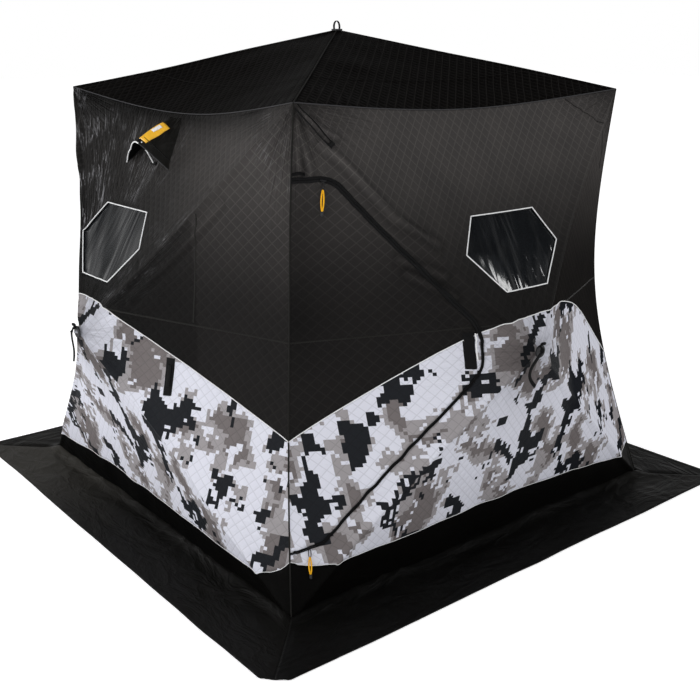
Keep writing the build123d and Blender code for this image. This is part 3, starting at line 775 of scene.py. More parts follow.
def wall_piece(name, wall, points, faces, finishes, lift=0.0, thick=FABRIC, **more):
    """Adds the cloth over some triangles of a wall's square, with what its finish reads."""
    used = np.unique(faces)
    renumber = np.zeros(len(points), dtype=int)
    renumber[used] = np.arange(len(used))
    g = points[used]
    hub, corner, hub_folds, corner_folds = fold_amounts(wall, g)
    flat = wall_skin(g)
    values = {"hub_way": hub, "corner_way": corner, "hub_folds": hub_folds,
              "corner_folds": corner_folds, "tone": tone(wall, g), "lee": lee(wall, g),
              "rubbing": rubbing(wall, g)}
    piece = new_piece(name, cloth(wall, g, lift), renumber[faces], finishes,
                      uv=np.column_stack([flat[:, 0], flat[:, 2] + 3]), values=values, **more)
    add_modifier(piece, "SOLIDIFY", thickness=thick, offset=-1, material_offset=1,
                 material_offset_rim=0, use_even_offset=False)
    if thick == FABRIC:
        stretched(flat, renumber[faces])
    return piece


def stretched(flat, faces):
    """Works out the plain skin's area under some faces, and does nothing more with it.
    Declares a cloth cut to the plain skin's own area and held taut by the poles.
    """
    first, second = (flat[faces[:, k]] - flat[faces[:, 0]] for k in (1, 2))
    area = float(np.linalg.norm(np.cross(first, second), axis=1).sum() / 2)


# ---------------------------------------------------------------------------
# Materials
# ---------------------------------------------------------------------------
DIAGONAL = 0.7071                               # the quilting runs at 45 degrees to the cloth
STITCH_CORE, STITCH_EDGE = 0.0005, 0.0024       # from the middle of a stitch line to its edge
PILLOW_HEIGHT, CRUSH_HEIGHT = 0.0011, 0.0012
HALF_THREAD = 0.0015                            # half of the drawn thread spacing
WEAVE_HEIGHT = 0.05                             # share of that spacing
HUB_PLEATS = (46.0, 5.5, 0.016)                 # folds round and out from a hub, and depth
CORNER_PLEATS = (16.0, 2.2, 0.038)
PANE_PLEATS = (2.4, 0.3, 0.014)
CAMO_BLOBS = {                                  # where a noise is read, blobs per metre
    "grey": ((3.1, 1.7, 0), (5.6, 3.9, 1)),     # across and up: some 150 mm, and taller
    "dark": ((9.2, 5.3, 2), (7.5, 5.0, 1)),     # than wide
    "speck": ((1.3, 8.8, 5), (17.0, 13.0, 1)),
}
CAMO_INKS = (("grey", 0.505, "camo_pale"), ("grey", 0.575, "camo_grey"),
             ("dark", 0.572, "camo_dark"), ("speck", 0.605, "camo_white"))
CAMO_SHAKE = 0.040                              # how ragged the blobs' edges are
NET_PITCH, NET_THREAD = 0.0050, 0.0009


def linear(hex_colour):
    """Linear red, green, blue and alpha of an sRGB hex colour."""
    out = []
    for i in (1, 3, 5):
        c = int(hex_colour[i:i + 2], 16) / 255
        out.append(c / 12.92 if c <= 0.04045 else ((c + 0.055) / 1.055) ** 2.4)
    return tuple(out) + (1.0,)


def dye(name):
    """A colour given as sRGB hex, or by its name among the hut's colours."""
    return linear(name) if name[0] == "#" else getattr(bpy.context.scene.hut_colours, name)


def shaded(colour, share):
    """A colour made darker or lighter by a share."""
    return tuple(min(1, c * share) for c in colour[:3]) + (1,)


def put(tree, kind, inputs=(), **settings):
    """Adds a shader node with its settings, and its inputs by order or by name: values,
    sockets, or nodes that give their first output."""
    node = tree.nodes.new("ShaderNode" + kind)
    for key, value in settings.items():
        setattr(node, key, value)
    for key, value in (inputs.items() if isinstance(inputs, dict) else enumerate(inputs)):
        if isinstance(value, bpy.types.Node):
            value = value.outputs[0]
        if isinstance(value, bpy.types.NodeSocket):
            tree.links.new(value, node.inputs[key])
        else:
            node.inputs[key].default_value = value
    return node


def fresh(name):
    """A new material with no nodes."""
    material = bpy.data.materials.new(name)
    material.use_nodes = True
    material.node_tree.nodes.clear()
    return material, material.node_tree


def finished(material, looks, height, strength):
    """Gives a material its shader, with its looks by name and a height in metres as bump."""
    tree = material.node_tree
    bump = put(tree, "Bump", {"Height": height, "Distance": 1.0, "Strength": strength})
    shader = put(tree, "BsdfPrincipled", {**looks, "Normal": bump})
    put(tree, "OutputMaterial", (shader,))
    return material


def cut_cloth(tree):
    """Metres across and up the flat cut cloth: both together, and each."""
    uv = put(tree, "UVMap", uv_map="Cut").outputs[0]
    return (uv, *put(tree, "SeparateXYZ", (uv,)).outputs[:2])


def weave(tree, across, up):
    """Height of a plain weave. Its threads are some 0.45 mm apart in the real cloth and
    drawn 3 mm apart so that they show."""
    warp = put(tree, "Math", (across, HALF_THREAD), operation="PINGPONG")
    weft = put(tree, "Math", (up, HALF_THREAD), operation="PINGPONG")
    both = put(tree, "Math", (warp, weft), operation="ADD")
    return put(tree, "Math", (both, WEAVE_HEIGHT), operation="MULTIPLY")


def with_painted_light(tree, colour):
    """A cloth's colour, made paler or darker by the painted light on its mesh."""
    share = put(tree, "Attribute", attribute_name="tone").outputs["Fac"]
    share = put(tree, "Math", (share, 1.0), operation="ADD")
    return put(tree, "VectorMath", {0: colour, "Scale": share}, operation="SCALE")


def pleats(tree, key, size):
    """Fine folds that fan out from a hub or a corner: height in metres, and how much a
    crest shows."""
    across, out, depth = size
    way = put(tree, "Attribute", attribute_name=key + "_way").outputs["Vector"]
    amount = put(tree, "Attribute", attribute_name=key + "_folds").outputs["Fac"]
    place = put(tree, "VectorMath", (way, (across, across, out)), operation="MULTIPLY")
    grain = put(tree, "TexNoise", {"Vector": place, "Scale": 1.0, "Detail": 2.5, "Roughness": 0.6})
    side = put(tree, "Math", (grain, 0.5), operation="SUBTRACT")
    crest = put(tree, "Math", (side,), operation="ABSOLUTE")
    height = put(tree, "Math", (crest, amount), operation="MULTIPLY")
    height = put(tree, "Math", (height, -depth), operation="MULTIPLY")
    top = put(tree, "MapRange", {0: crest, 1: 0.0, 2: 0.024, 3: 1.0, 4: 0.0})
    shown = put(tree, "Math", (top, amount), operation="MULTIPLY", use_clamp=True)
    return height, shown


def camo_print(tree, uv):
    """Snow camouflage printed in squares: two greys, dark blobs and white specks on white."""
    cell = bpy.context.scene.hut_sizes.camo_cell
    squares = put(tree, "VectorMath", (uv, (cell, cell, cell)), operation="SNAP")
    jitter = put(tree, "TexWhiteNoise", (squares,), noise_dimensions="2D")
    jitter = put(tree, "Math", (jitter, 0.5), operation="SUBTRACT")
    shake = put(tree, "Math", (jitter, CAMO_SHAKE), operation="MULTIPLY")
    blobs = {}
    for key, (shift, size) in CAMO_BLOBS.items():
        place = put(tree, "VectorMath", (squares, shift), operation="ADD")
        place = put(tree, "VectorMath", (place, size), operation="MULTIPLY")
        grain = put(tree, "TexNoise", {"Vector": place, "Scale": 1.0, "Detail": 2.0,
                                       "Roughness": 0.6})
        blobs[key] = put(tree, "Math", (grain, shake), operation="ADD")
    colour = dye("camo_white")
    for key, level, ink in CAMO_INKS:
        here = put(tree, "Math", (blobs[key], level), operation="GREATER_THAN")
        colour = put(tree, "Mix", {0: here, 6: colour, 7: dye(ink)}, data_type="RGBA").outputs[2]
    return colour


def quilted_polyester(name, low=None, high=None, gloss=0.07):
    """Insulated polyester, diamond-quilted by machine: soft pillows between sunken stitch
    lines, a satin sheen, fine folds where the poles pull it tight, and painted highlights on
    the folds' crests. Without a low and a high colour it is the printed cloth; with them it
    also takes the painted light on its mesh."""
    material, tree = fresh(name)
    uv, across, up = cut_cloth(tree)
    pitch = bpy.context.scene.hut_sizes.quilt_pitch
    lines = []
    for side in ("ADD", "SUBTRACT"):
        slant = put(tree, "Math", (across, up), operation=side)
        slant = put(tree, "Math", (slant, DIAGONAL), operation="MULTIPLY")
        lines.append(put(tree, "Math", (slant, pitch / 2), operation="PINGPONG"))
    away = put(tree, "Math", lines, operation="MINIMUM")
    line = put(tree, "MapRange", (away, STITCH_CORE, STITCH_EDGE, 1.0, 0.0))
    pillow = put(tree, "MapRange", (away, 0.0, pitch * 0.38), interpolation_type="SMOOTHSTEP")
    blotch = put(tree, "TexNoise", {"Vector": uv, "Scale": 7.0, "Detail": 5.0, "Roughness": 0.6})
    crush = put(tree, "TexNoise", {"Vector": uv, "Scale": 38.0, "Detail": 3.0, "Roughness": 0.55})
    if low:
        shade, stitch, highlight_most = 0.26, "#3C3A38", 1.0
        base = put(tree, "Mix", {0: blotch, 6: dye(low), 7: dye(high)}, data_type="RGBA").outputs[2]
    else:
        shade, stitch, highlight_most = 0.17, "#0B0A0A", 0.10
        base = camo_print(tree, uv)
    line = put(tree, "Math", (line, shade), operation="MULTIPLY")
    base = put(tree, "Mix", {0: line, 6: base, 7: linear(stitch)}, data_type="RGBA").outputs[2]
    if low:
        # painted light from the mesh, over the stitch lines as well
        base = with_painted_light(tree, base)
    height = weave(tree, across, up)
    for part, size in ((pillow, PILLOW_HEIGHT), (crush, CRUSH_HEIGHT)):
        height = put(tree, "Math", (part, size, height), operation="MULTIPLY_ADD")
    crests = []
    for key, size in (("hub", HUB_PLEATS), ("corner", CORNER_PLEATS)):
        fold, crest = pleats(tree, key, size)
        height = put(tree, "Math", (height, fold), operation="ADD")
        crests.append(crest)
    # painted highlights on the crests of the folds, in patches and where the mesh's mask asks for
    # them
    highlight_amount = put(tree, "MapRange", (blotch, 0.44, 0.60, 0.0, highlight_most))
    worn = put(tree, "Math", crests, operation="MAXIMUM")
    for share in (highlight_amount, put(tree, "Attribute", attribute_name="rubbing").outputs["Fac"]):
        worn = put(tree, "Math", (worn, share), operation="MULTIPLY")
    base = put(tree, "Mix", {0: worn, 6: base, 7: dye("worn_crest")}, data_type="RGBA").outputs[2]
    turned_away = put(tree, "Attribute", attribute_name="lee").outputs["Fac"]
    looks = {"Base Color": base, "IOR": 1.5,
             "Roughness": put(tree, "MapRange", {0: blotch, 3: 0.50, 4: 0.68}),
             "Specular IOR Level": put(tree, "MapRange", {0: turned_away, 3: gloss, 4: 0.0})}
    return finished(material, looks, height, 0.9)


def coated_polyester(name, colour, wrinkle, sheen=0.05):
    """Plain polyester with a rolled-on waterproof coat: dull, with soft creases that
    stay from packing."""
    material, tree = fresh(name)
    uv, across, up = cut_cloth(tree)
    colour = dye(colour)
    blotch = put(tree, "TexNoise", {"Vector": uv, "Scale": 5.0, "Detail": 6.0, "Roughness": 0.62})
    base = put(tree, "Mix", {0: blotch, 6: shaded(colour, 0.72), 7: shaded(colour, 1.3)},
               data_type="RGBA").outputs[2]
    place = put(tree, "VectorMath", (uv, (5.0, 11.0, 1.0)), operation="MULTIPLY")
    creases = put(tree, "TexNoise", {"Vector": place, "Scale": 1.0, "Detail": 4.0,
                                     "Roughness": 0.5, "Distortion": 0.6})
    crest = put(tree, "Math", (creases, 0.5), operation="SUBTRACT")
    crest = put(tree, "Math", (crest,), operation="ABSOLUTE")
    height = put(tree, "Math", (crest, -wrinkle, weave(tree, across, up)),
                 operation="MULTIPLY_ADD")
    # painted light from the mesh on the base colour
    looks = {"Base Color": with_painted_light(tree, base), "IOR": 1.5,
             "Roughness": put(tree, "MapRange", {0: blotch, 3: 0.46, 4: 0.64}),
             "Specular IOR Level": sheen}
    return finished(material, looks, height, 0.8)


def pressed_vinyl(name):
    """Clear calendered PVC, 0.5 mm: glossy, with long creases that catch the light and a
    faint haze from handling."""
    material, tree = fresh(name)
    uv = cut_cloth(tree)[0]
    haze = put(tree, "TexNoise", {"Vector": uv, "Scale": 9.0, "Detail": 2.0, "Roughness": 0.5})
    tint = put(tree, "Mix", {0: haze, 6: linear("#121518"), 7: linear("#2B2E32")},
               data_type="RGBA").outputs[2]
    soft = put(tree, "TexNoise", {"Vector": uv, "Scale": 6.0, "Detail": 1.0, "Roughness": 0.5})
    place = put(tree, "VectorMath", (uv, (13.0, 3.0, 1.0)), operation="MULTIPLY")
    sag = put(tree, "TexNoise", {"Vector": place, "Scale": 1.0, "Detail": 2.0,
                                 "Roughness": 0.45, "Distortion": 0.5})
    height = pleats(tree, "hub", PANE_PLEATS)[0]
    for part, size in ((soft, 0.006), (sag, 0.012)):
        height = put(tree, "Math", (part, size, height), operation="MULTIPLY_ADD")
    looks = {"Base Color": tint, "IOR": 1.53, "Transmission Weight": 0.62,
             "Roughness": put(tree, "MapRange", {0: haze, 3: 0.05, 4: 0.13}),
             "Specular IOR Level": 0.22}
    return finished(material, looks, height, 0.6)


def woven_webbing(name, colour, rib, dull=0.7):
    """Flat-woven polyester tape: fine ribs across its length, dull, a little faded. The rib
    is some 1 mm in the real tape, and drawn at 2 to 4 mm so that it shows."""
    material, tree = fresh(name)
    uv, across, along = cut_cloth(tree)
    colour = dye(colour)
    blotch = put(tree, "TexNoise", {"Vector": uv, "Scale": 40.0, "Detail": 4.0})
    base = put(tree, "Mix", {0: blotch, 6: shaded(colour, 0.75), 7: shaded(colour, 1.25)},
               data_type="RGBA").outputs[2]
    cords = put(tree, "Math", (across, rib / 2), operation="PINGPONG")
    ribs = put(tree, "Math", (along, rib), operation="PINGPONG")
    height = put(tree, "Math", (ribs, 0.15), operation="MULTIPLY")
    height = put(tree, "Math", (cords, 0.35, height), operation="MULTIPLY_ADD")
    looks = {"Base Color": base, "IOR": 1.5,
             "Roughness": put(tree, "MapRange", {0: blotch, 3: dull - .08, 4: dull + .08}),
             "Specular IOR Level": 0.15}
    return finished(material, looks, height, 0.8)


def worked_solid(name, colour, roughness, metallic, grain, depth):
    """A solid finish whose surface shows how it was formed: grain size and depth in metres."""
    material, tree = fresh(name)
    colour = dye(colour)
    place = put(tree, "TexCoord").outputs["Object"]
    grains = put(tree, "TexNoise", {"Vector": place, "Scale": 1 / grain, "Detail": 4.0})
    base = put(tree, "Mix", {0: grains, 6: shaded(colour, 0.8), 7: shaded(colour, 1.2)},
               data_type="RGBA").outputs[2]
    height = put(tree, "Math", (grains, depth), operation="MULTIPLY")
    looks = {"Base Color": base, "Metallic": metallic,
             "Roughness": put(tree, "MapRange", {0: grains, 3: roughness - .08,
                                                 4: roughness + .08})}
    return finished(material, looks, height, 0.7)


def insect_net(name):
    """Knitted polyester net: 2 mm holes, drawn 5 mm apart so that they show."""
    material, tree = fresh(name)
    _, across, up = cut_cloth(tree)
    sides = [put(tree, "Math", (way, NET_PITCH / 2), operation="PINGPONG") for way in (across, up)]
    away = put(tree, "Math", sides, operation="MINIMUM")
    thread = put(tree, "Math", (away, NET_THREAD), operation="LESS_THAN")
    base = put(tree, "Mix", {0: thread, 6: linear("#0C0C0C"), 7: linear("#1B1B1D")},
               data_type="RGBA").outputs[2]
    shader = put(tree, "BsdfPrincipled", {"Base Color": base, "Roughness": 0.8, "Alpha": thread})
    put(tree, "OutputMaterial", (shader,))
    return material


FINISHES = {
    # machine-quilted polyester: soft diamonds, satin; the walls' black takes painted light,
    # brighter toward the eaves, and painted highlights on fold crests
    "Quilted black polyester": (quilted_polyester, "black_low", "black_high"),
    # the roof's black is darker than the walls': painted shade
    "Quilted black roof polyester": (quilted_polyester, "roof_low", "roof_high", 0.02),
    "Quilted snow camo polyester": (quilted_polyester,),
    # coated polyester: dull and close, with soft packing creases
    "Coated black lining": (coated_polyester, "#0F0F10", 0.004),
    "Coated base band cloth": (coated_polyester, "band", 0.010),
    "Coated skirt cloth": (coated_polyester, "skirt", 0.026, 0.16),
    "Clear pressed vinyl": (pressed_vinyl,),
    # woven tapes and cords: fine ribs, dull; the coil and the piping are smoother
    "Woven black webbing": (woven_webbing, "#0C0C0D", 0.003),
    "Woven zipper tape": (woven_webbing, "#101011", 0.002),
    "Nylon zipper coil": (woven_webbing, "#0D0D0E", 0.004, 0.45),
    "Woven yellow pull cord": (woven_webbing, "pull", 0.003, 0.55),
    "Silver reflective piping": (woven_webbing, "piping", 0.004, 0.42),
    "Bound black seam": (woven_webbing, "#1A1917", 0.004, 0.6),
    "Grey bound edge": (woven_webbing, "#3E3E40", 0.004, 0.6),
    # moulded nylon has a fine spark-eroded grain
    "Moulded glass-filled nylon": (worked_solid, "#1D1D20", 0.5, 0.0, 0.002, 0.0003),
    # pultruded rod shows fibres under a resin skin
    "Pultruded fibreglass": (worked_solid, "#26262A", 0.38, 0.0, 0.004, 0.0002),
    # a dark lacquer over cast zinc gives small, soft highlights
    "Lacquered zinc die-casting": (worked_solid, "#1A1A1C", 0.3, 0.6, 0.003, 0.0001),
    # film laminated on cloth is smooth, with the cloth's waves under it
    "Yellow laminated film": (worked_solid, "tag", 0.4, 0.0, 0.02, 0.0006),
    "Knitted insect net": (insect_net,),
}


def finish(name):
    """The named finish, made the first time it is asked for."""
    maker, *settings = FINISHES[name]
    return bpy.data.materials.get(name) or maker(name, *settings)


# ---------------------------------------------------------------------------
# Sizes and colours that a user would change
# ---------------------------------------------------------------------------
def length(name, default, low, description):
    """A length in metres."""
    return FloatProperty(name=name, default=default, min=low, unit="LENGTH",
                         description=description)


def paint(name, hex_colour, description):
    """A colour, given as sRGB hex."""
    return FloatVectorProperty(name=name, default=linear(hex_colour), subtype="COLOR", size=4,
                               min=0, max=1, description=description)


class HutSizes(bpy.types.PropertyGroup):
    """Sizes of the cloth and its trim."""

    fine_step: length("Fine step", 0.0105, 0.005, "Mesh spacing of the front and left walls")
    plain_step: length("Plain step", 0.016, 0.008, "Mesh spacing of the other walls")
    quilt_pitch: length("Quilt pitch", 0.031, 0.01, "Distance between the quilting's stitch lines")
    camo_cell: length("Camo cell", 0.013, 0.004, "Side of one printed square of the camouflage")
    piping: length("Piping", 0.0048, 0.002, "Diameter of the reflective piping")
    tape: length("Zipper tape", 0.0075, 0.005, "Width of each zipper tape on the black cloth")
    skirt_swell: length("Skirt swell", 0.016, 0.0, "Height of the folds in the snow skirt")


class HutColours(bpy.types.PropertyGroup):
    """Colours of the cloth and its trim."""

    black_low: paint("Black, shaded", "#1B1A1A", "Darker threads of the black cloth")
    black_high: paint("Black, worn", "#262423", "Lighter threads of the black cloth")
    # the roof's colours are darker than the walls' black: painted shade on the roof
    roof_low: paint("Roof, shaded", "#070606", "Darker threads of the roof cloth")
    roof_high: paint("Roof, worn", "#0F0D0C", "Lighter threads of the roof cloth")
    camo_white: paint("Camo white", "#D8D9E4", "Ground of the camouflage")
    camo_pale: paint("Camo pale grey", "#9A9698", "Lighter grey of the print")
    camo_grey: paint("Camo grey", "#716B6B", "Brownish grey of the print")
    camo_dark: paint("Camo dark", "#1F2125", "Darkest colour of the print")
    band: paint("Base band", "#070605", "Plain band round the base")
    skirt: paint("Snow skirt", "#131210", "Snow skirt on the ground")
    # painted highlight on the crests of the black cloth's folds
    worn_crest: paint("Painted crest highlights", "#9C9CA0", "Rubbed crests of the black cloth's folds")
    piping: paint("Piping", "#F0F1F4", "Reflective piping")
    pull: paint("Zipper pulls", "#F2AE1C", "Pulls and loops")
    tag: paint("Vent tag", "#F0B321", "Plain tag on the vent hood")


# ---------------------------------------------------------------------------
# Pieces
# ---------------------------------------------------------------------------
FRONT_STANDS = ("front_top_panel", "front_right_panel", "door_header", "door_side_upper")
CAMO_STANDS = ("front_bottom_panel", "door_side_lower", "door_sill")
ROOF_ROWS = 84
ROOF_SEAM_SHARE = .30                           # the roof's level seam, from eave to peak
PANE_THICK = 0.0008
PANE_COLUMNS, PANE_ROWS = 44, 34
TAPE_POINTS, COIL_POINTS, PULL_POINTS = 420, 900, 600
TAPE_SHARES = np.array([0, .25, .5, .75, 1.0])  # columns across a zipper tape
FLAP_TAPE_POINTS = 416                          # it stops short of the corner when it swings
TAPE_NARROW = .34                               # share of its width seen on the camouflage
PULLS = ((.080, .078), (.952, .066))            # share along the zipper, length of the cord
SLIDER_HALF, SLIDER_SIZE = .011, (.013, .0075)
SLIDER_WIDTHS = np.array([.5, .85, 1, 1, 1, .85, .5])
RING_HALF, RING_WIRE = (.016, .0045), (.0036, .0032)
CORD_DROP, CORD_HALF, CORD_SIZE = .028, .0046, (.0056, .0046)
TIP_SIZE, TIP_WIDTHS = (.011, .008), np.array([.7, 1, 1, .9, 1, 1, .95, .6])
KNOT_SIZE, KNOT_WIDTHS = (.013, .012), np.array([.6, .9, 1, 1, 1, .9, .6])
STRAP_SIZE, LOOP_SIZE = (.014, .0026, .0003), (.011, .0022, .0003)   # width, thickness, crown
SEAM_LIFT = .0004
CORNER_BINDING, EAVE_BINDING, RIDGE_BINDING = (.006, .004), (.0042, .004), (.0055, .004)
LEVEL_TAPE, STITCH_TAPE, ROOF_TAPE = (.0055, .0010), (.0050, .0010), (.0045, .0008)
CAMO_PIPING, BAND_PIPING = .8, .45              # shares of the window piping's diameter
POCKET_LINES, POCKET_RUN = (-.0065, .0065), (.015, .215)   # beside a pole, along it
VENT_RINGS = (1.06, .8, .55, .3, .08)
SKIRT_COLUMNS, SKIRT_ROWS, SKIRT_CHAMFER = 190, 34, .075
FLOOR_HALF = 60.0


def wall_lines(wall):
    """Every line that a wall's cloth is cut or sewn along."""
    lines = {"camo": camo_line(wall), "band": by_height(BAND_TOP[wall]),
             "window": window_line(wall), "seam": SEAM_LINE}
    if wall == "front":
        lines["flap"] = door_line()
        lines["frame"] = door_line(DOOR_GAP)
    if wall == "left":
        lines["vent"] = vent_line()
    return lines


def by_the_door(wall, line, lines):
    """Which points of a line lie on the door flap, and which outside the zipper."""
    if wall != "front":
        on_flap = np.zeros(len(line), dtype=bool)
        return on_flap, ~on_flap
    on_flap = within(line, lines["flap"])
    return on_flap, ~(on_flap | within(line, lines["frame"]))


def lay(heap, wall, line, lift, profile, closed=False):
    """Adds a profile that lies on a wall along a line given in slopes."""
    points, out = cloth_path(wall, line, lift)
    sweep(heap, points, out, profile, closed=closed)


def lay_where(heap, wall, line, keep, lift, profile, least=3):
    """Adds a profile along each unbroken run of the kept points of a line."""
    marks = np.where(keep)[0]
    for run in np.split(marks, np.where(np.diff(marks) > 1)[0] + 1):
        if len(run) >= least:
            lay(heap, wall, line[run], lift, profile)


def strip_on_cloth(heap, wall, line, width, lift, thick, crown=0.0008):
    """Adds a strip of webbing that lies on a wall along a line given in slopes."""
    lay(heap, wall, line, lift, strip_profile(width, thick, crown))


def patch_on_cloth(heap, wall, line, width, lift, columns=10):
    """Adds a flat patch of webbing that lies on a wall, along a line given in slopes."""
    reach = -wall_skin(line)[:, 1]
    rows = []
    for share in np.linspace(-.5, .5, columns):
        moved = line + np.column_stack([share * width / reach, reach * 0])
        rows.append(cloth(wall, moved, lift if abs(share) < .5 else -.001))
    count = len(line)
    uv = grid_uv(np.linspace(0, count * .01, count), np.linspace(0, width, columns))
    heap.add(np.stack(rows, axis=1).reshape(-1, 3), grid_faces(count - 1, columns - 1), uv)


def upright_line(along, low, high, count):
    """An upright line on the front wall's skin between two heights, in slopes."""
    out = []
    for height in np.linspace(low, high, count):
        up = (height - CENTRE_Z) / HUB_REACH
        across = along / HUB_REACH
        for _ in range(8):
            reach = -wall_skin(np.array([[across, up]]))[0, 1]
            across, up = along / reach, (height - CENTRE_Z) / reach
        out.append((across, up))
    return np.array(out)


class HUT_OT_walls(bpy.types.Operator):
    """Walls: quilted black cloth over printed camouflage over a plain band, and the door flap"""

    bl_idname = "hut.walls"
    bl_label = "Walls and door flap"

    def execute(self, context):
        sizes = context.scene.hut_sizes
        black = ["Quilted black polyester", "Coated black lining"]
        camo = ["Quilted snow camo polyester", "Coated black lining"]
        plain = ["Coated base band cloth", "Coated black lining"]
        poles = [np.array([end, HUB_G], dtype=float) for end in POLE_ENDS]
        for wall in WALLS:
            lines = wall_lines(wall)
            step = sizes.fine_step if wall in ("front", "left") else sizes.plain_step
            points, faces, middles = square_cut(step, list(lines.values()) + poles)
            solid = ~within(middles, lines["window"])
            upper, band = above(middles, lines["camo"]), ~above(middles, lines["band"])
            tops = [f"{wall}_{part}" for part in ("top_panel", "right_panel", "left_panel")]
            lows = (f"{wall}_bottom_panel",)
            if wall == "left":
                solid &= ~within(middles, lines["vent"])
            if wall == "front":
                tops, lows = FRONT_STANDS, CAMO_STANDS
                flap = within(middles, lines["flap"])
                solid &= flap | ~within(middles, lines["frame"])
                wall_piece("door_flap_upper", wall, points, faces[flap & upper], black,
                           body="door", stands_for=("door_flap",), slot="black_quilted_fabric")
                wall_piece("door_flap_camo", wall, points, faces[flap & ~upper], camo,
                           body="door", slot="camo_quilted_fabric")
                solid &= ~flap
            wall_piece(f"{wall}_upper_cloth", wall, points, faces[solid & upper], black,
                       stands_for=tops, slot="black_quilted_fabric")
            wall_piece(f"{wall}_camo_cloth", wall, points, faces[solid & ~upper & ~band], camo,
                       stands_for=lows, slot="camo_quilted_fabric")
            wall_piece(f"{wall}_band_cloth", wall, points, faces[band], plain,
                       stands_for=(f"{wall}_base_band",), slot="plain_black_fabric")
        return {"FINISHED"}


class HUT_OT_roof(bpy.types.Operator):
    """Roof: four quilted panels that sag between the corners"""

    bl_idname = "hut.roof"
    bl_label = "Roof"

    def execute(self, context):
        cloths = ["Quilted black roof polyester", "Coated black lining"]
        weights, index, faces = [], {}, []
        for i in range(ROOF_ROWS + 1):
            for j in range(ROOF_ROWS + 1 - i):
                index[i, j] = len(weights)
                weights.append((1 - (i + j) / ROOF_ROWS, j / ROOF_ROWS, i / ROOF_ROWS))
        for i in range(ROOF_ROWS):
            for j in range(ROOF_ROWS - i):
                faces.append((index[i, j], index[i, j + 1], index[i + 1, j]))
                if j < ROOF_ROWS - i - 1:
                    faces.append((index[i, j + 1], index[i + 1, j + 1], index[i + 1, j]))
        weights = np.array(weights)
        flat = roof_skin(weights)
        plan = flat[:, :2]
        far = np.linalg.norm(plan, axis=1)
        heading = plan / np.maximum(far, 1e-6)[:, None]
        corner = np.minimum(np.linalg.norm(plan - [-EAVE_HALF, -EAVE_HALF], axis=1),
                            np.linalg.norm(plan - [EAVE_HALF, -EAVE_HALF], axis=1))
        values = {"hub_way": np.column_stack([heading, far]),
                  "hub_folds": bell(far - .1, .2) * .5,
                  "corner_way": np.column_stack([heading * .8, corner]),
                  "corner_folds": bell(corner - .1, .3) * .7,
                  "rubbing": far * 0}
        for wall in WALLS:
            piece = new_piece(f"{wall}_roof_cloth", roof_cloth(wall, weights), faces, cloths,
                              uv=plan + 5, values=values, stands_for=(f"{wall}_roof_panel",),
                              slot="black_quilted_fabric")
            add_modifier(piece, "SOLIDIFY", thickness=FABRIC, offset=-1, material_offset=1)
            stretched(flat, np.array(faces))
        return {"FINISHED"}


class HUT_OT_windows(bpy.types.Operator):
    """Windows: a clear vinyl pane sewn behind each opening"""

    bl_idname = "hut.windows"
    bl_label = "Windows"

    def execute(self, context):
        for wall in WALLS:
            loop = window_line(wall, grow=0.012, step=0.02)
            low, high = loop.min(axis=0), loop.max(axis=0)
            grid = np.array([(x, y) for y in np.linspace(low[1], high[1], PANE_ROWS)
                             for x in np.linspace(low[0], high[0], PANE_COLUMNS)])
            grid = grid[within(grid, loop) & (nearest(grid, loop)[0] > .006)]
            count, ring = len(grid), len(loop) - 1
            edges = [(count + i, count + (i + 1) % ring) for i in range(ring)]
            points, faces = triangles(np.vstack([grid, loop[:-1]]), edges, 1)
            stands = ("window_panes",) if wall == "front" else ()
            wall_piece(f"{wall}_window_pane", wall, points, faces, ["Clear pressed vinyl"],
                       lift=-FABRIC - PANE_THICK, thick=PANE_THICK, stands_for=stands,
                       slot="clear_vinyl")
        return {"FINISHED"}


class HUT_OT_piping(bpy.types.Operator):
    """Reflective piping round the windows and along the edges of the camouflage"""

    bl_idname = "hut.piping"
    bl_label = "Reflective piping"

    def execute(self, context):
        width = context.scene.hut_sizes.piping
        silver = "Silver reflective piping"
        flap = Heap()
        for wall in WALLS:
            lines = wall_lines(wall)
            heap = Heap()
            lay(heap, wall, window_line(wall, step=0.008)[:-1], .0012,
                round_profile(width, width), closed=True)
            heap.piece(f"{wall}_window_piping", silver)
            heap = Heap()
            for key, share in (("camo", CAMO_PIPING), ("band", BAND_PIPING)):
                line = stepped(lines[key], .008)
                profile = round_profile(width * share, width * share)
                on_flap, outside = by_the_door(wall, line, lines)
                lay_where(heap, wall, line, outside, .0008, profile)
                lay_where(flap, wall, line, on_flap, .0008, profile)
            heap.piece(f"{wall}_camo_piping", silver)
            if wall == "front":
                flap.piece("door_flap_piping", silver, body="door")
        return {"FINISHED"}


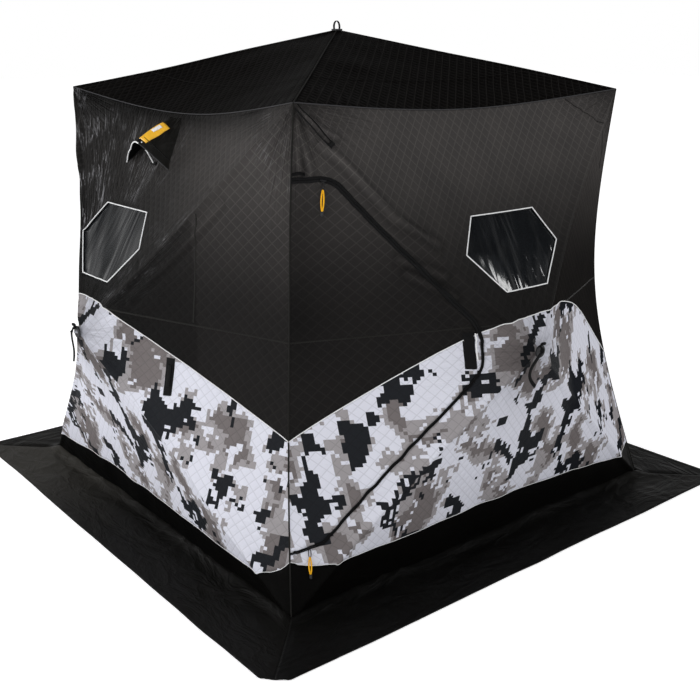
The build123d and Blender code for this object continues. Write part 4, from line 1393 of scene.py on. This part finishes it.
class HUT_OT_seams(bpy.types.Operator):
    """Bound seams at the corners, eaves, ridges and level round the middle"""

    bl_idname = "hut.seams"
    bl_label = "Bound seams"

    def execute(self, context):
        corners, eaves, ridges, flats, flap = Heap(), Heap(), Heap(), Heap(), Heap()
        upright = np.column_stack([np.full(170, -1.0), np.linspace(BASE_G, EAVE_G, 170)])
        eave = np.column_stack([np.linspace(-1, 1, 150), np.full(150, EAVE_G)])
        level = np.column_stack([np.linspace(-1, 1, 200), np.full(200, SEAM_G)])
        t = np.linspace(0, 1, 110)
        ridge = np.column_stack([1 - t, t * 0, t])
        across = np.column_stack([(1 - ROOF_SEAM_SHARE) * (1 - t), (1 - ROOF_SEAM_SHARE) * t,
                                  np.full(110, ROOF_SEAM_SHARE)])
        for wall in WALLS:
            lay(corners, wall, upright, SEAM_LIFT, round_profile(*CORNER_BINDING))
            lay(eaves, wall, eave, SEAM_LIFT, round_profile(*EAVE_BINDING))
            sweep(ridges, roof_cloth(wall, ridge, SEAM_LIFT), (0, 0, 1),
                  round_profile(*RIDGE_BINDING))
            sweep(flats, roof_cloth(wall, across, SEAM_LIFT / 2), (0, 0, 1),
                  strip_profile(*ROOF_TAPE))
            seen = above(level, camo_line(wall)) & (np.abs(level[:, 0]) >= .05)
            on_flap, outside = by_the_door(wall, level, wall_lines(wall))
            for keep, heap in ((outside, flats), (on_flap, flap)):
                lay_where(heap, wall, level, keep & seen, SEAM_LIFT,
                          strip_profile(*LEVEL_TAPE), 4)
            for line in STITCHED.get(wall, ()):
                lay(flats, wall, stepped(softened(line, 2), .01), SEAM_LIFT,
                    strip_profile(*STITCH_TAPE))
        bound = "Bound black seam"
        corners.piece("corner_seams", bound)
        eaves.piece("eave_seams", "Grey bound edge")
        ridges.piece("ridge_seams", bound)
        flats.piece("flat_seams", bound)
        flap.piece("door_flap_seam", bound, body="door")
        return {"FINISHED"}


def zipper_tape(name, start, way, body, node):
    """Adds one tape of the zipper: way is 1 away from the flap's edge, -1 onto the flap."""
    full = bpy.context.scene.hut_sizes.tape
    rows = []
    for part in TAPE_SHARES:
        grid = resampled(door_line(start + way * full * part, .010), TAPE_POINTS)
        if not rows:
            first = grid
            wide = above(grid, camo_line("front")).astype(float)
            wide = np.convolve(np.pad(wide, 10, mode="edge"), np.ones(21) / 21, mode="valid")
            share = (TAPE_NARROW + (1 - TAPE_NARROW) * wide)[:, None]
        ridge = .0016 if part in (.25, .75) else 0
        rows.append(cloth("front", first + (grid - first) * share,
                          .0012 + .0022 * (1 - part) + ridge))
    grid = np.stack(rows, axis=1)
    uv = grid_uv(np.arange(TAPE_POINTS) * .006, TAPE_SHARES * full)
    faces = grid_faces(TAPE_POINTS - 1, len(TAPE_SHARES) - 1)
    if way < 0:
        grid = grid[:FLAP_TAPE_POINTS]
        uv = uv[:FLAP_TAPE_POINTS * len(TAPE_SHARES)]
        kept = (FLAP_TAPE_POINTS - 1) * (len(TAPE_SHARES) - 1)
        faces = [face[::-1] for face in faces[:kept]]
    piece = new_piece(name, grid.reshape(-1, 3), faces, ["Woven zipper tape"], uv=uv, body=body,
                      stands_for=(node,), slot="zipper_nylon")
    add_modifier(piece, "SOLIDIFY", thickness=.0012, offset=-1)


def zipper_pull(metal, cords, tips, share, hang):
    """Adds a slider with its ring, its looped cord and the cord's moulded tip."""
    line = resampled(door_line(.0008, .006), PULL_POINTS)
    i = int(share * (PULL_POINTS - 1))
    points, out = cloth_path("front", line[i - 6:i + 7], .0045)
    place, out = points[6], out[6]
    way = (points[-1] - points[0]) / np.linalg.norm(points[-1] - points[0])
    sweep(metal, place + np.outer(np.linspace(-SLIDER_HALF, SLIDER_HALF, 7), way), out,
          swollen(round_profile(*SLIDER_SIZE, 12), SLIDER_WIDTHS))
    along = cloth("front", [line[i], line[i] - [0, .09]])
    down = (along[1] - along[0]) / np.linalg.norm(along[1] - along[0])
    out = out - down * (down @ out)
    out /= np.linalg.norm(out)
    side = np.cross(out, down)
    top = place + out * .0090 + down * .004
    turn = np.linspace(0, 2 * np.pi, 33)[:-1]
    ring = (top + np.outer(np.cos(turn), down) * RING_HALF[0]
            + np.outer(np.sin(turn), side) * RING_HALF[1] + down * .015)
    sweep(metal, ring, out, round_profile(*RING_WIRE, 6), closed=True)
    t = np.linspace(0, 1, 34)
    knot = top + down * CORD_DROP
    for sign in (-1, 1):
        wide = CORD_HALF * np.sin(np.pi * np.clip(t * 1.04, 0, 1)) ** .7
        leg = (knot + np.outer(t * hang, down) + np.outer(sign * wide, side)
               + np.outer(.003 * np.sin(np.pi * t), out))
        sweep(cords, leg, out, round_profile(*CORD_SIZE, 8))
    tip = knot + np.outer(np.linspace(hang - .004, hang + .014, 8), down)
    sweep(tips, tip, out, swollen(round_profile(*TIP_SIZE), TIP_WIDTHS))


class HUT_OT_zipper(bpy.types.Operator):
    """Zipper: woven tapes, the coil in the gap, two sliders with yellow pulls"""

    bl_idname = "hut.zipper"
    bl_label = "Zipper"

    def execute(self, context):
        zipper_tape("zipper_frame_tape_cloth", DOOR_GAP - .0008, 1, "hut", "zipper_frame_tape")
        zipper_tape("zipper_flap_tape_cloth", .0008, -1, "door", "zipper_flap_tape")
        coil = Heap()
        line = resampled(door_line(DOOR_GAP / 2, .006), COIL_POINTS)
        pulse = 1 + .16 * np.cos(np.arange(COIL_POINTS) * np.pi)
        lay(coil, "front", line, .0012, swollen(round_profile(.0074, .0042, 8), pulse))
        coil.piece("zipper_coil", "Nylon zipper coil", "zipper_nylon")
        metal, cords, tips = Heap(), Heap(), Heap()
        for share, hang in PULLS:
            zipper_pull(metal, cords, tips, share, hang)
        metal.piece("zipper_sliders", "Lacquered zinc die-casting", "zipper_nylon",
                    body="door", stands_for=("zipper_pulls",))
        cords.piece("zipper_pull_cords", "Woven yellow pull cord", "zipper_nylon", body="door")
        tips.piece("zipper_pull_tips", "Moulded glass-filled nylon", "zipper_nylon",
                   body="door")
        return {"FINISHED"}


def hub_strap(heap, wall, foot):
    """Adds the strap knotted on a wall's hub: over the hub's face, then hanging to its foot."""
    face = np.array([HUB_SHIFT, -HUB_REACH - CAP_STAND, CENTRE_Z + .020])
    turn = np.linspace(0, np.pi / 2, 12)
    bend = face + np.column_stack([turn * -.008, -np.sin(turn) * .016,
                                   -(1 - np.cos(turn)) * .016])
    drop = bend[-1][2] - foot
    t = np.linspace(0, 1, 26)[1:]
    aside = -.052 if wall in ("front", "back") else -.012
    tail = bend[-1] + np.column_stack([aside * np.sin(t * 2.6), .014 * np.sin(t * 3.1) * t,
                                       -t * drop])
    out = np.vstack([np.column_stack([turn * 0, -np.cos(turn), np.sin(turn)]),
                     np.column_stack([t * 0, -np.ones(25), t * 0])])
    sweep(heap, turned(np.vstack([bend, tail]), wall), turned(out, wall),
          strip_profile(*STRAP_SIZE))
    knot = face + np.column_stack([np.linspace(-.013, .013, 7), np.full(7, -.010),
                                   np.full(7, .012)])
    sweep(heap, turned(knot, wall), turned([[0, -1, 0]], wall)[0],
          swollen(round_profile(*KNOT_SIZE), KNOT_WIDTHS))


def roof_loop(heap):
    """Adds the webbing loop that stands on the roof hub."""
    low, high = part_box("roof_pull_loop")
    rise, half = high[2] - low[2], (high[0] - low[0]) / 2 - .001
    turn = np.linspace(-.35, np.pi + .35, 44)
    path = np.column_stack([np.cos(turn) * half * .98, np.sin(turn * .5 + .1) * .002,
                            np.sin(turn) * (rise - half * .35) * .74 + half * .30])
    path[:, 2] = low[2] + (path[:, 2] - path[:, 2].min()) * (rise - .001) / np.ptp(path[:, 2])
    out = np.column_stack([np.cos(turn), turn * 0, np.sin(turn)])
    middle = [(low[0] + high[0]) / 2, (low[1] + high[1]) / 2, 0]
    sweep(heap, path + middle, out, strip_profile(*LOOP_SIZE))


class HUT_OT_webbing(bpy.types.Operator):
    """Webbing: pull straps on the wall hubs, the roof loop, tie patches and a pole pocket"""

    bl_idname = "hut.webbing"
    bl_label = "Webbing"

    def execute(self, context):
        web = "Woven black webbing"
        straps, loop, tie, edge, patches, pocket = (Heap() for _ in range(6))
        for wall in WALLS:
            hub_strap(straps, wall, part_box("wall_pull_straps")[0][2])
        straps.piece("wall_hub_straps", web, stands_for=("wall_pull_straps",))
        roof_loop(loop)
        loop.piece("roof_loop", web, stands_for=("roof_pull_loop",))
        side = corner_line((DOOR_SIDE_TOP + DOOR_SIDE_LOW) / 2) - DOOR_REACH
        patch_on_cloth(tie, "front", upright_line(-side - .032, .842, .975, 16), .046, .0034)
        strip_on_cloth(edge, "front", upright_line(-side - .010, .872, .972, 14), .0055, .0040,
                       .0020)
        edge.piece("door_tie_edge", "Silver reflective piping", body="door")
        tie.piece("door_tie_webbing", web, body="door", stands_for=("door_tie_patch",))
        line = upright_line(.370, .702, .848, 18)
        patch_on_cloth(patches, "left", line, .044, .0034)
        strip_on_cloth(patches, "left", line[4:15], .018, .0040, .0024)
        strip_on_cloth(patches, "front", door_line(DOOR_GAP + .020, .006)[:9], .014, .0016,
                       .0018)
        patches.piece("webbing_on_walls", web, stands_for=("webbing_patches",))
        t = np.linspace(*POCKET_RUN, 24)[:, None]
        line = np.array([-1, EAVE_G]) * (1 - t) + np.array(HUB_G) * t
        for aside in POCKET_LINES:
            strip_on_cloth(pocket, "front", line + [aside, aside], .0034, .0020, .0014, .002)
        strip_on_cloth(pocket, "front", line[-3:], .018, .0036, .0014, .001)
        pocket.piece("pole_pocket", "Woven zipper tape")
        return {"FINISHED"}


def vent_hood():
    """The hood's feet and back on the wall, and the function that gives points of its cloth."""
    _, level, up, normal = facet_frame(TOP_FACET, VENT_SHIFT, VENT_FOOT)

    def spot(across, height, lift):
        """Point on the wall by its place along it and its height, lifted outward."""
        flat = facet_frame(TOP_FACET, across, height)[0]
        return to_skin(TOP_FACET, flat[None])[0] + normal * lift

    left, right = (spot(VENT_SHIFT + side * VENT_HALF, VENT_FOOT, .002) for side in (-1, 1))
    back = spot(VENT_SHIFT + VENT_LEAN, VENT_TOP, .003)
    front = (left + right) / 2 + normal * VENT_REACH * .96 + up * VENT_RISE

    def hood(s, u, lift=0.0):
        """Point of the hood: s runs from its mouth to its back, u from foot to foot."""
        middle = ((left + right) / 2) * (1 - s) + back * s
        side = (right - left) / 2 * (1 - .62 * s)
        ridge = front * (1 - s) + back * s - middle + up * .020 * math.sin(math.pi * s)
        arch = 1 - (math.hypot(u, .16) - .16) / (math.hypot(1, .16) - .16)
        ruck = (swell([[s * 6, u * 5, 1.0]], 1.0, 9)[0] * .005
                + ridged([[s * 3, u * 17, 4.0]], 1.0, 5)[0] * .003 * s)
        place = middle + side * u + ridge * arch
        out = normal * (1 - abs(u) * .6) + level * (.7 * u)
        rise = ruck * math.sin(math.pi * abs(u)) + lift
        place = place + out / np.linalg.norm(out) * rise
        if abs(u) > .8:
            ground = to_skin(TOP_FACET, place[None])[0]
            sewn = ease((abs(u) - .8) / .2) * ease(s / .1)
            place = place + (ground + normal * .0015 - place) * sewn
        return place

    return hood, spot(VENT_SHIFT + .045, VENT_FOOT + .010, .006), level, normal


def hood_sheet(hood, s_range, u_range, rows, columns, lift, flare=0.0):
    """Grid of the hood's cloth between two ranges, wider toward the back by a flare."""
    marks = [(s, u * (1 + flare * (s - s_range[0])))
             for s in np.linspace(*s_range, rows + 1) for u in np.linspace(*u_range, columns + 1)]
    grid = np.array([hood(s, u, lift) for s, u in marks])
    uv = [(s * .22, u * .18) for s, u in marks]
    return settled(turned(grid, "left")), grid_faces(rows, columns), uv


class HUT_OT_vent(bpy.types.Operator):
    """Vent: a peaked hood with piped edges over a netted hole, with a plain yellow tag"""

    bl_idname = "hut.vent"
    bl_label = "Vent hood"

    def execute(self, context):
        hood, stay_foot, level, normal = vent_hood()
        out = turned([normal], "left")[0]
        points, quads, uv = hood_sheet(hood, (0, 1), (-1, 1), 26, 52, 0)
        cloths = ["Coated skirt cloth", "Coated black lining"]
        cover = new_piece("left_vent_hood_cloth", points, quads, cloths, uv=uv,
                          stands_for=("left_vent_hood",), slot="black_quilted_fabric")
        add_modifier(cover, "SOLIDIFY", thickness=.0025, offset=-1, material_offset=1)
        silver, grey, dark = Heap(), Heap(), Heap()
        for heap, s, u_range, width in ((silver, 0, (-1, .12), .0056),
                                        (grey, 0, (.12, 1), .0034), (dark, .15, (.1, 1), .0036)):
            run = np.array([hood(s, u, .001) for u in np.linspace(*u_range, 40)])
            sweep(heap, settled(turned(run, "left")), out, round_profile(width, width, 8))
        t = np.linspace(0, 1, 16)[:, None]
        stay = hood(.02, .16, -.004) * (1 - t) + stay_foot * t
        sweep(silver, turned(stay, "left"), out, round_profile(.0055, .0055, 8))
        pad = stay_foot + np.outer(np.linspace(-.022, .022, 6), level)
        sweep(dark, turned(pad, "left"), out, round_profile(.012, .008, 8))
        silver.piece("vent_hood_piping", "Silver reflective piping")
        grey.piece("vent_hood_edge", "Grey bound edge")
        dark.piece("vent_hood_stay", "Woven zipper tape")
        hole = vent_line()[:-1]
        middle, ring = hole.mean(axis=0), len(hole)
        flat = np.vstack([hole * k + middle * (1 - k) for k in VENT_RINGS])
        net = [(k * ring + i, k * ring + (i + 1) % ring, (k + 1) * ring + (i + 1) % ring,
                (k + 1) * ring + i) for k in range(len(VENT_RINGS) - 1) for i in range(ring)]
        net.append(tuple((len(VENT_RINGS) - 1) * ring + i for i in range(ring)))
        skin = wall_skin(flat)
        new_piece("vent_net", cloth("left", flat, -FABRIC - .001), net, ["Knitted insect net"],
                  uv=skin[:, [0, 2]], slot="black_webbing")
        for name, s_range, u_range, lift, kind in (
                ("vent_tag", (.09, .64), (.0, .26), .0024, "Yellow laminated film"),
                ("vent_tag_field", (.34, .54), (.06, .20), .0036, "Silver reflective piping")):
            points, quads, uv = hood_sheet(hood, s_range, u_range, 12, 10, lift, 1.6)
            tag = new_piece(name, points, quads, [kind], uv=uv, slot="zipper_nylon")
            add_modifier(tag, "SOLIDIFY", thickness=.0010, offset=-1)
        return {"FINISHED"}


class HUT_OT_skirt(bpy.types.Operator):
    """Snow skirt: a plain cloth on the ground round the base, rucked where it meets the band"""

    bl_idname = "hut.skirt"
    bl_label = "Snow skirt"

    def execute(self, context):
        inner, outer = BASE_HALF - .004, SKIRT_HALF
        s = np.repeat(np.arange(SKIRT_ROWS + 1) / SKIRT_ROWS, SKIRT_COLUMNS + 1)
        along = np.tile(np.linspace(-1, 1, SKIRT_COLUMNS + 1), SKIRT_ROWS + 1)
        reach = inner + (outer - inner) * s
        over = np.maximum(0, np.abs(along) * reach + reach - (2 * outer - SKIRT_CHAMFER))
        plan = np.column_stack([along * reach - np.sign(along) * over / 2, -reach + over / 2])
        # painted light on the skirt: on the left wall very bright at its back end and darker toward
        # the front; on the other walls painted shade, fading out at the right end
        shades = {"left": 4.0 - 4.25 * ease((along + .88) / .95)}
        for wall in WALLS:
            seed = WALL_SEED[wall] + SKIRT_SEED
            x, y = plan[:, 0], plan[:, 1]
            lay_out = np.column_stack([x * 3.4, y * 5.5, s * 0])
            rise = np.maximum(0, swell(lay_out, 1.0, seed) * .7 + .25) * (1 - s) ** .5
            fine = np.maximum(0, ridged(np.column_stack([x * 9, y * 5, s * 0]), 1.0, seed + 1))
            edge = ease((1.0 - np.abs(x) / np.maximum(-y, 1e-6)) / .04)
            height = rise * context.scene.hut_sizes.skirt_swell + fine * .006 * (1 - s)
            ruck = .022 * bell(s - .02, .10) * (.6 + .4 * edge) * ease((1 - s) / .25)
            hem = ease((s - .90) / .08) * .0015
            wave = swell(lay_out * 1.7, 1.0, seed + 2) * .004 * ease((s - .8) / .2)
            points = np.column_stack([x, y + wave, .0026 + (height * edge + ruck) + hem])
            shade = shades.get(wall, -.6 + .6 * ease((along - .55) / .4))
            faces = [(a, d, c, b) for a, b, c, d in grid_faces(SKIRT_ROWS, SKIRT_COLUMNS)]
            piece = new_piece(f"{wall}_skirt_cloth", turned(points, wall), faces,
                              ["Coated skirt cloth"], uv=plan + 5, values={"tone": shade},
                              stands_for=(f"{wall}_snow_skirt",), slot="plain_black_fabric")
            add_modifier(piece, "SOLIDIFY", thickness=.0016, offset=-1)
        return {"FINISHED"}


class HUT_OT_frame_finishes(bpy.types.Operator):
    """Hubs and poles: the frame's own shapes with moulded nylon and fibreglass finishes"""

    bl_idname = "hut.frame_finishes"
    bl_label = "Hubs and poles"

    def execute(self, context):
        kept = {"Moulded glass-filled nylon": ["roof_hub", "wall_hubs"],
                "Pultruded fibreglass": ["roof_poles"] + [f"{wall}_poles" for wall in WALLS]}
        for name, nodes in kept.items():
            for node in nodes:
                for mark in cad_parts[node].material_slots:
                    mark.material = finish(name)
        return {"FINISHED"}


LAMPS = {                                       # place, power in watts, side
    "key": ((-7.5, -1.2, 2.6), 95, 3.0),
    "front": ((-2.5, -8.0, 4.0), 45, 4.0),
    "edge": ((-3.9, 2.6, 1.9), 38, 1.0),
    "glint": ((3.7, -4.9, 4.0), 16, 0.6),
}
LAMP_AIM = Vector((0, 0, .9))
FLOOR_GLOW, ROOM_LIGHT = 0.42, 0.74
CAMERA_PLACE = (-2.7925, -3.5473, 1.9739)
CAMERA_DOWN, CAMERA_TURN = 17.197, -38.94       # degrees below level, and about the upright
CAMERA_LENS, CAMERA_SENSOR, CAMERA_FAR = 50.36, 36.0, 200.0


def stage_floor():
    """A wide matt white floor that the camera sees a little brighter than it is lit."""
    paper, tree = fresh("Matt white paper")
    seen = put(tree, "LightPath").outputs["Is Camera Ray"]
    shader = put(tree, "BsdfPrincipled", {
        "Base Color": linear("#FAFAFA"),
        "Roughness": 0.9,
        "Emission Color": linear("#FFFFFF"),
        "Emission Strength": put(tree, "Math", (seen, FLOOR_GLOW), operation="MULTIPLY")})
    put(tree, "OutputMaterial", (shader,))
    mesh = bpy.data.meshes.new("floor")
    corners = [(x * FLOOR_HALF, y * FLOOR_HALF, 0) for x, y in ((-1, -1), (1, -1), (1, 1), (-1, 1))]
    mesh.from_pydata(corners, [], [(0, 1, 2, 3)])
    mesh.materials.append(paper)
    floor = bpy.data.objects.new("floor", mesh)
    bpy.context.scene.collection.objects.link(floor)


def stage_world():
    """An even white room. Gloss and glass see its wall, which ends a little above the hut
    under a dark ceiling, and the camera sees plain white."""
    world = bpy.data.worlds.new("Soft white room")
    world.use_nodes = True
    tree = world.node_tree
    tree.nodes.clear()
    rays = put(tree, "LightPath").outputs
    mirrored = put(tree, "Math", (rays["Is Glossy Ray"], rays["Is Transmission Ray"]),
                   operation="MAXIMUM")
    way = put(tree, "SeparateXYZ", (put(tree, "TexCoord").outputs["Generated"],))
    fall = put(tree, "MapRange", (way.outputs[2], 0.04, 0.50, 1.0, 0.03))
    lit, reflected, backdrop = (put(tree, "Background", (linear("#FFFFFF"), strength))
                                for strength in (ROOM_LIGHT, fall, 1.0))
    seen = put(tree, "MixShader", (mirrored, lit, reflected))
    seen = put(tree, "MixShader", (rays["Is Camera Ray"], seen, backdrop))
    put(tree, "OutputWorld", (seen,))
    bpy.context.scene.world = world


class HUT_OT_stage(bpy.types.Operator):
    """Stage: white floor, soft lamps and the camera"""

    bl_idname = "hut.stage"
    bl_label = "Stage"

    def execute(self, context):
        scene = context.scene
        stage_floor()
        stage_world()
        for name, (place, power, side) in LAMPS.items():
            lamp = bpy.data.lights.new(name, "AREA")
            lamp.energy, lamp.size = power, side
            holder = bpy.data.objects.new(name, lamp)
            holder.location = place
            aim = LAMP_AIM - Vector(place)
            holder.rotation_euler = aim.to_track_quat("-Z", "Y").to_euler()
            scene.collection.objects.link(holder)
        camera = bpy.data.cameras.new("camera")
        camera.lens, camera.sensor_width, camera.clip_end = CAMERA_LENS, CAMERA_SENSOR, CAMERA_FAR
        eye = bpy.data.objects.new("camera", camera)
        eye.location = CAMERA_PLACE
        eye.rotation_euler = (math.radians(90 - CAMERA_DOWN), 0, math.radians(CAMERA_TURN))
        scene.collection.objects.link(eye)
        scene.camera = eye
        scene.view_settings.view_transform = "Standard"
        return {"FINISHED"}


OPERATORS = (HUT_OT_walls, HUT_OT_roof, HUT_OT_windows, HUT_OT_piping, HUT_OT_seams, HUT_OT_zipper,
             HUT_OT_webbing, HUT_OT_vent, HUT_OT_skirt, HUT_OT_frame_finishes, HUT_OT_stage)


class VIEW3D_PT_hut(bpy.types.Panel):
    """Lists the hut's pieces, its sizes and its colours."""

    bl_label = "Ice fishing hut"
    bl_idname = "VIEW3D_PT_hut"
    bl_space_type = "VIEW_3D"
    bl_region_type = "UI"
    bl_category = "Hut"

    def draw(self, context):
        column = self.layout.column(align=True)
        for group in (context.scene.hut_sizes, context.scene.hut_colours):
            for key in group.bl_rna.properties.keys():
                if key not in ("rna_type", "name"):
                    column.prop(group, key)
        for operator in OPERATORS:
            column.operator(operator.bl_idname)


CLASSES = (HutSizes, HutColours) + OPERATORS + (VIEW3D_PT_hut,)


def register():
    """Registers the classes and gives each scene its sizes and colours."""
    for kind in CLASSES:
        bpy.utils.register_class(kind)
    bpy.types.Scene.hut_sizes = PointerProperty(type=HutSizes)
    bpy.types.Scene.hut_colours = PointerProperty(type=HutColours)


def unregister():
    """Takes back what register did."""
    del bpy.types.Scene.hut_colours
    del bpy.types.Scene.hut_sizes
    for kind in reversed(CLASSES):
        bpy.utils.unregister_class(kind)


def main():
    """Registers the add-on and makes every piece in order."""
    register()
    for operator in OPERATORS:
        group, name = operator.bl_idname.split(".")
        getattr(getattr(bpy.ops, group), name)()


if __name__ == "__main__":
    main()
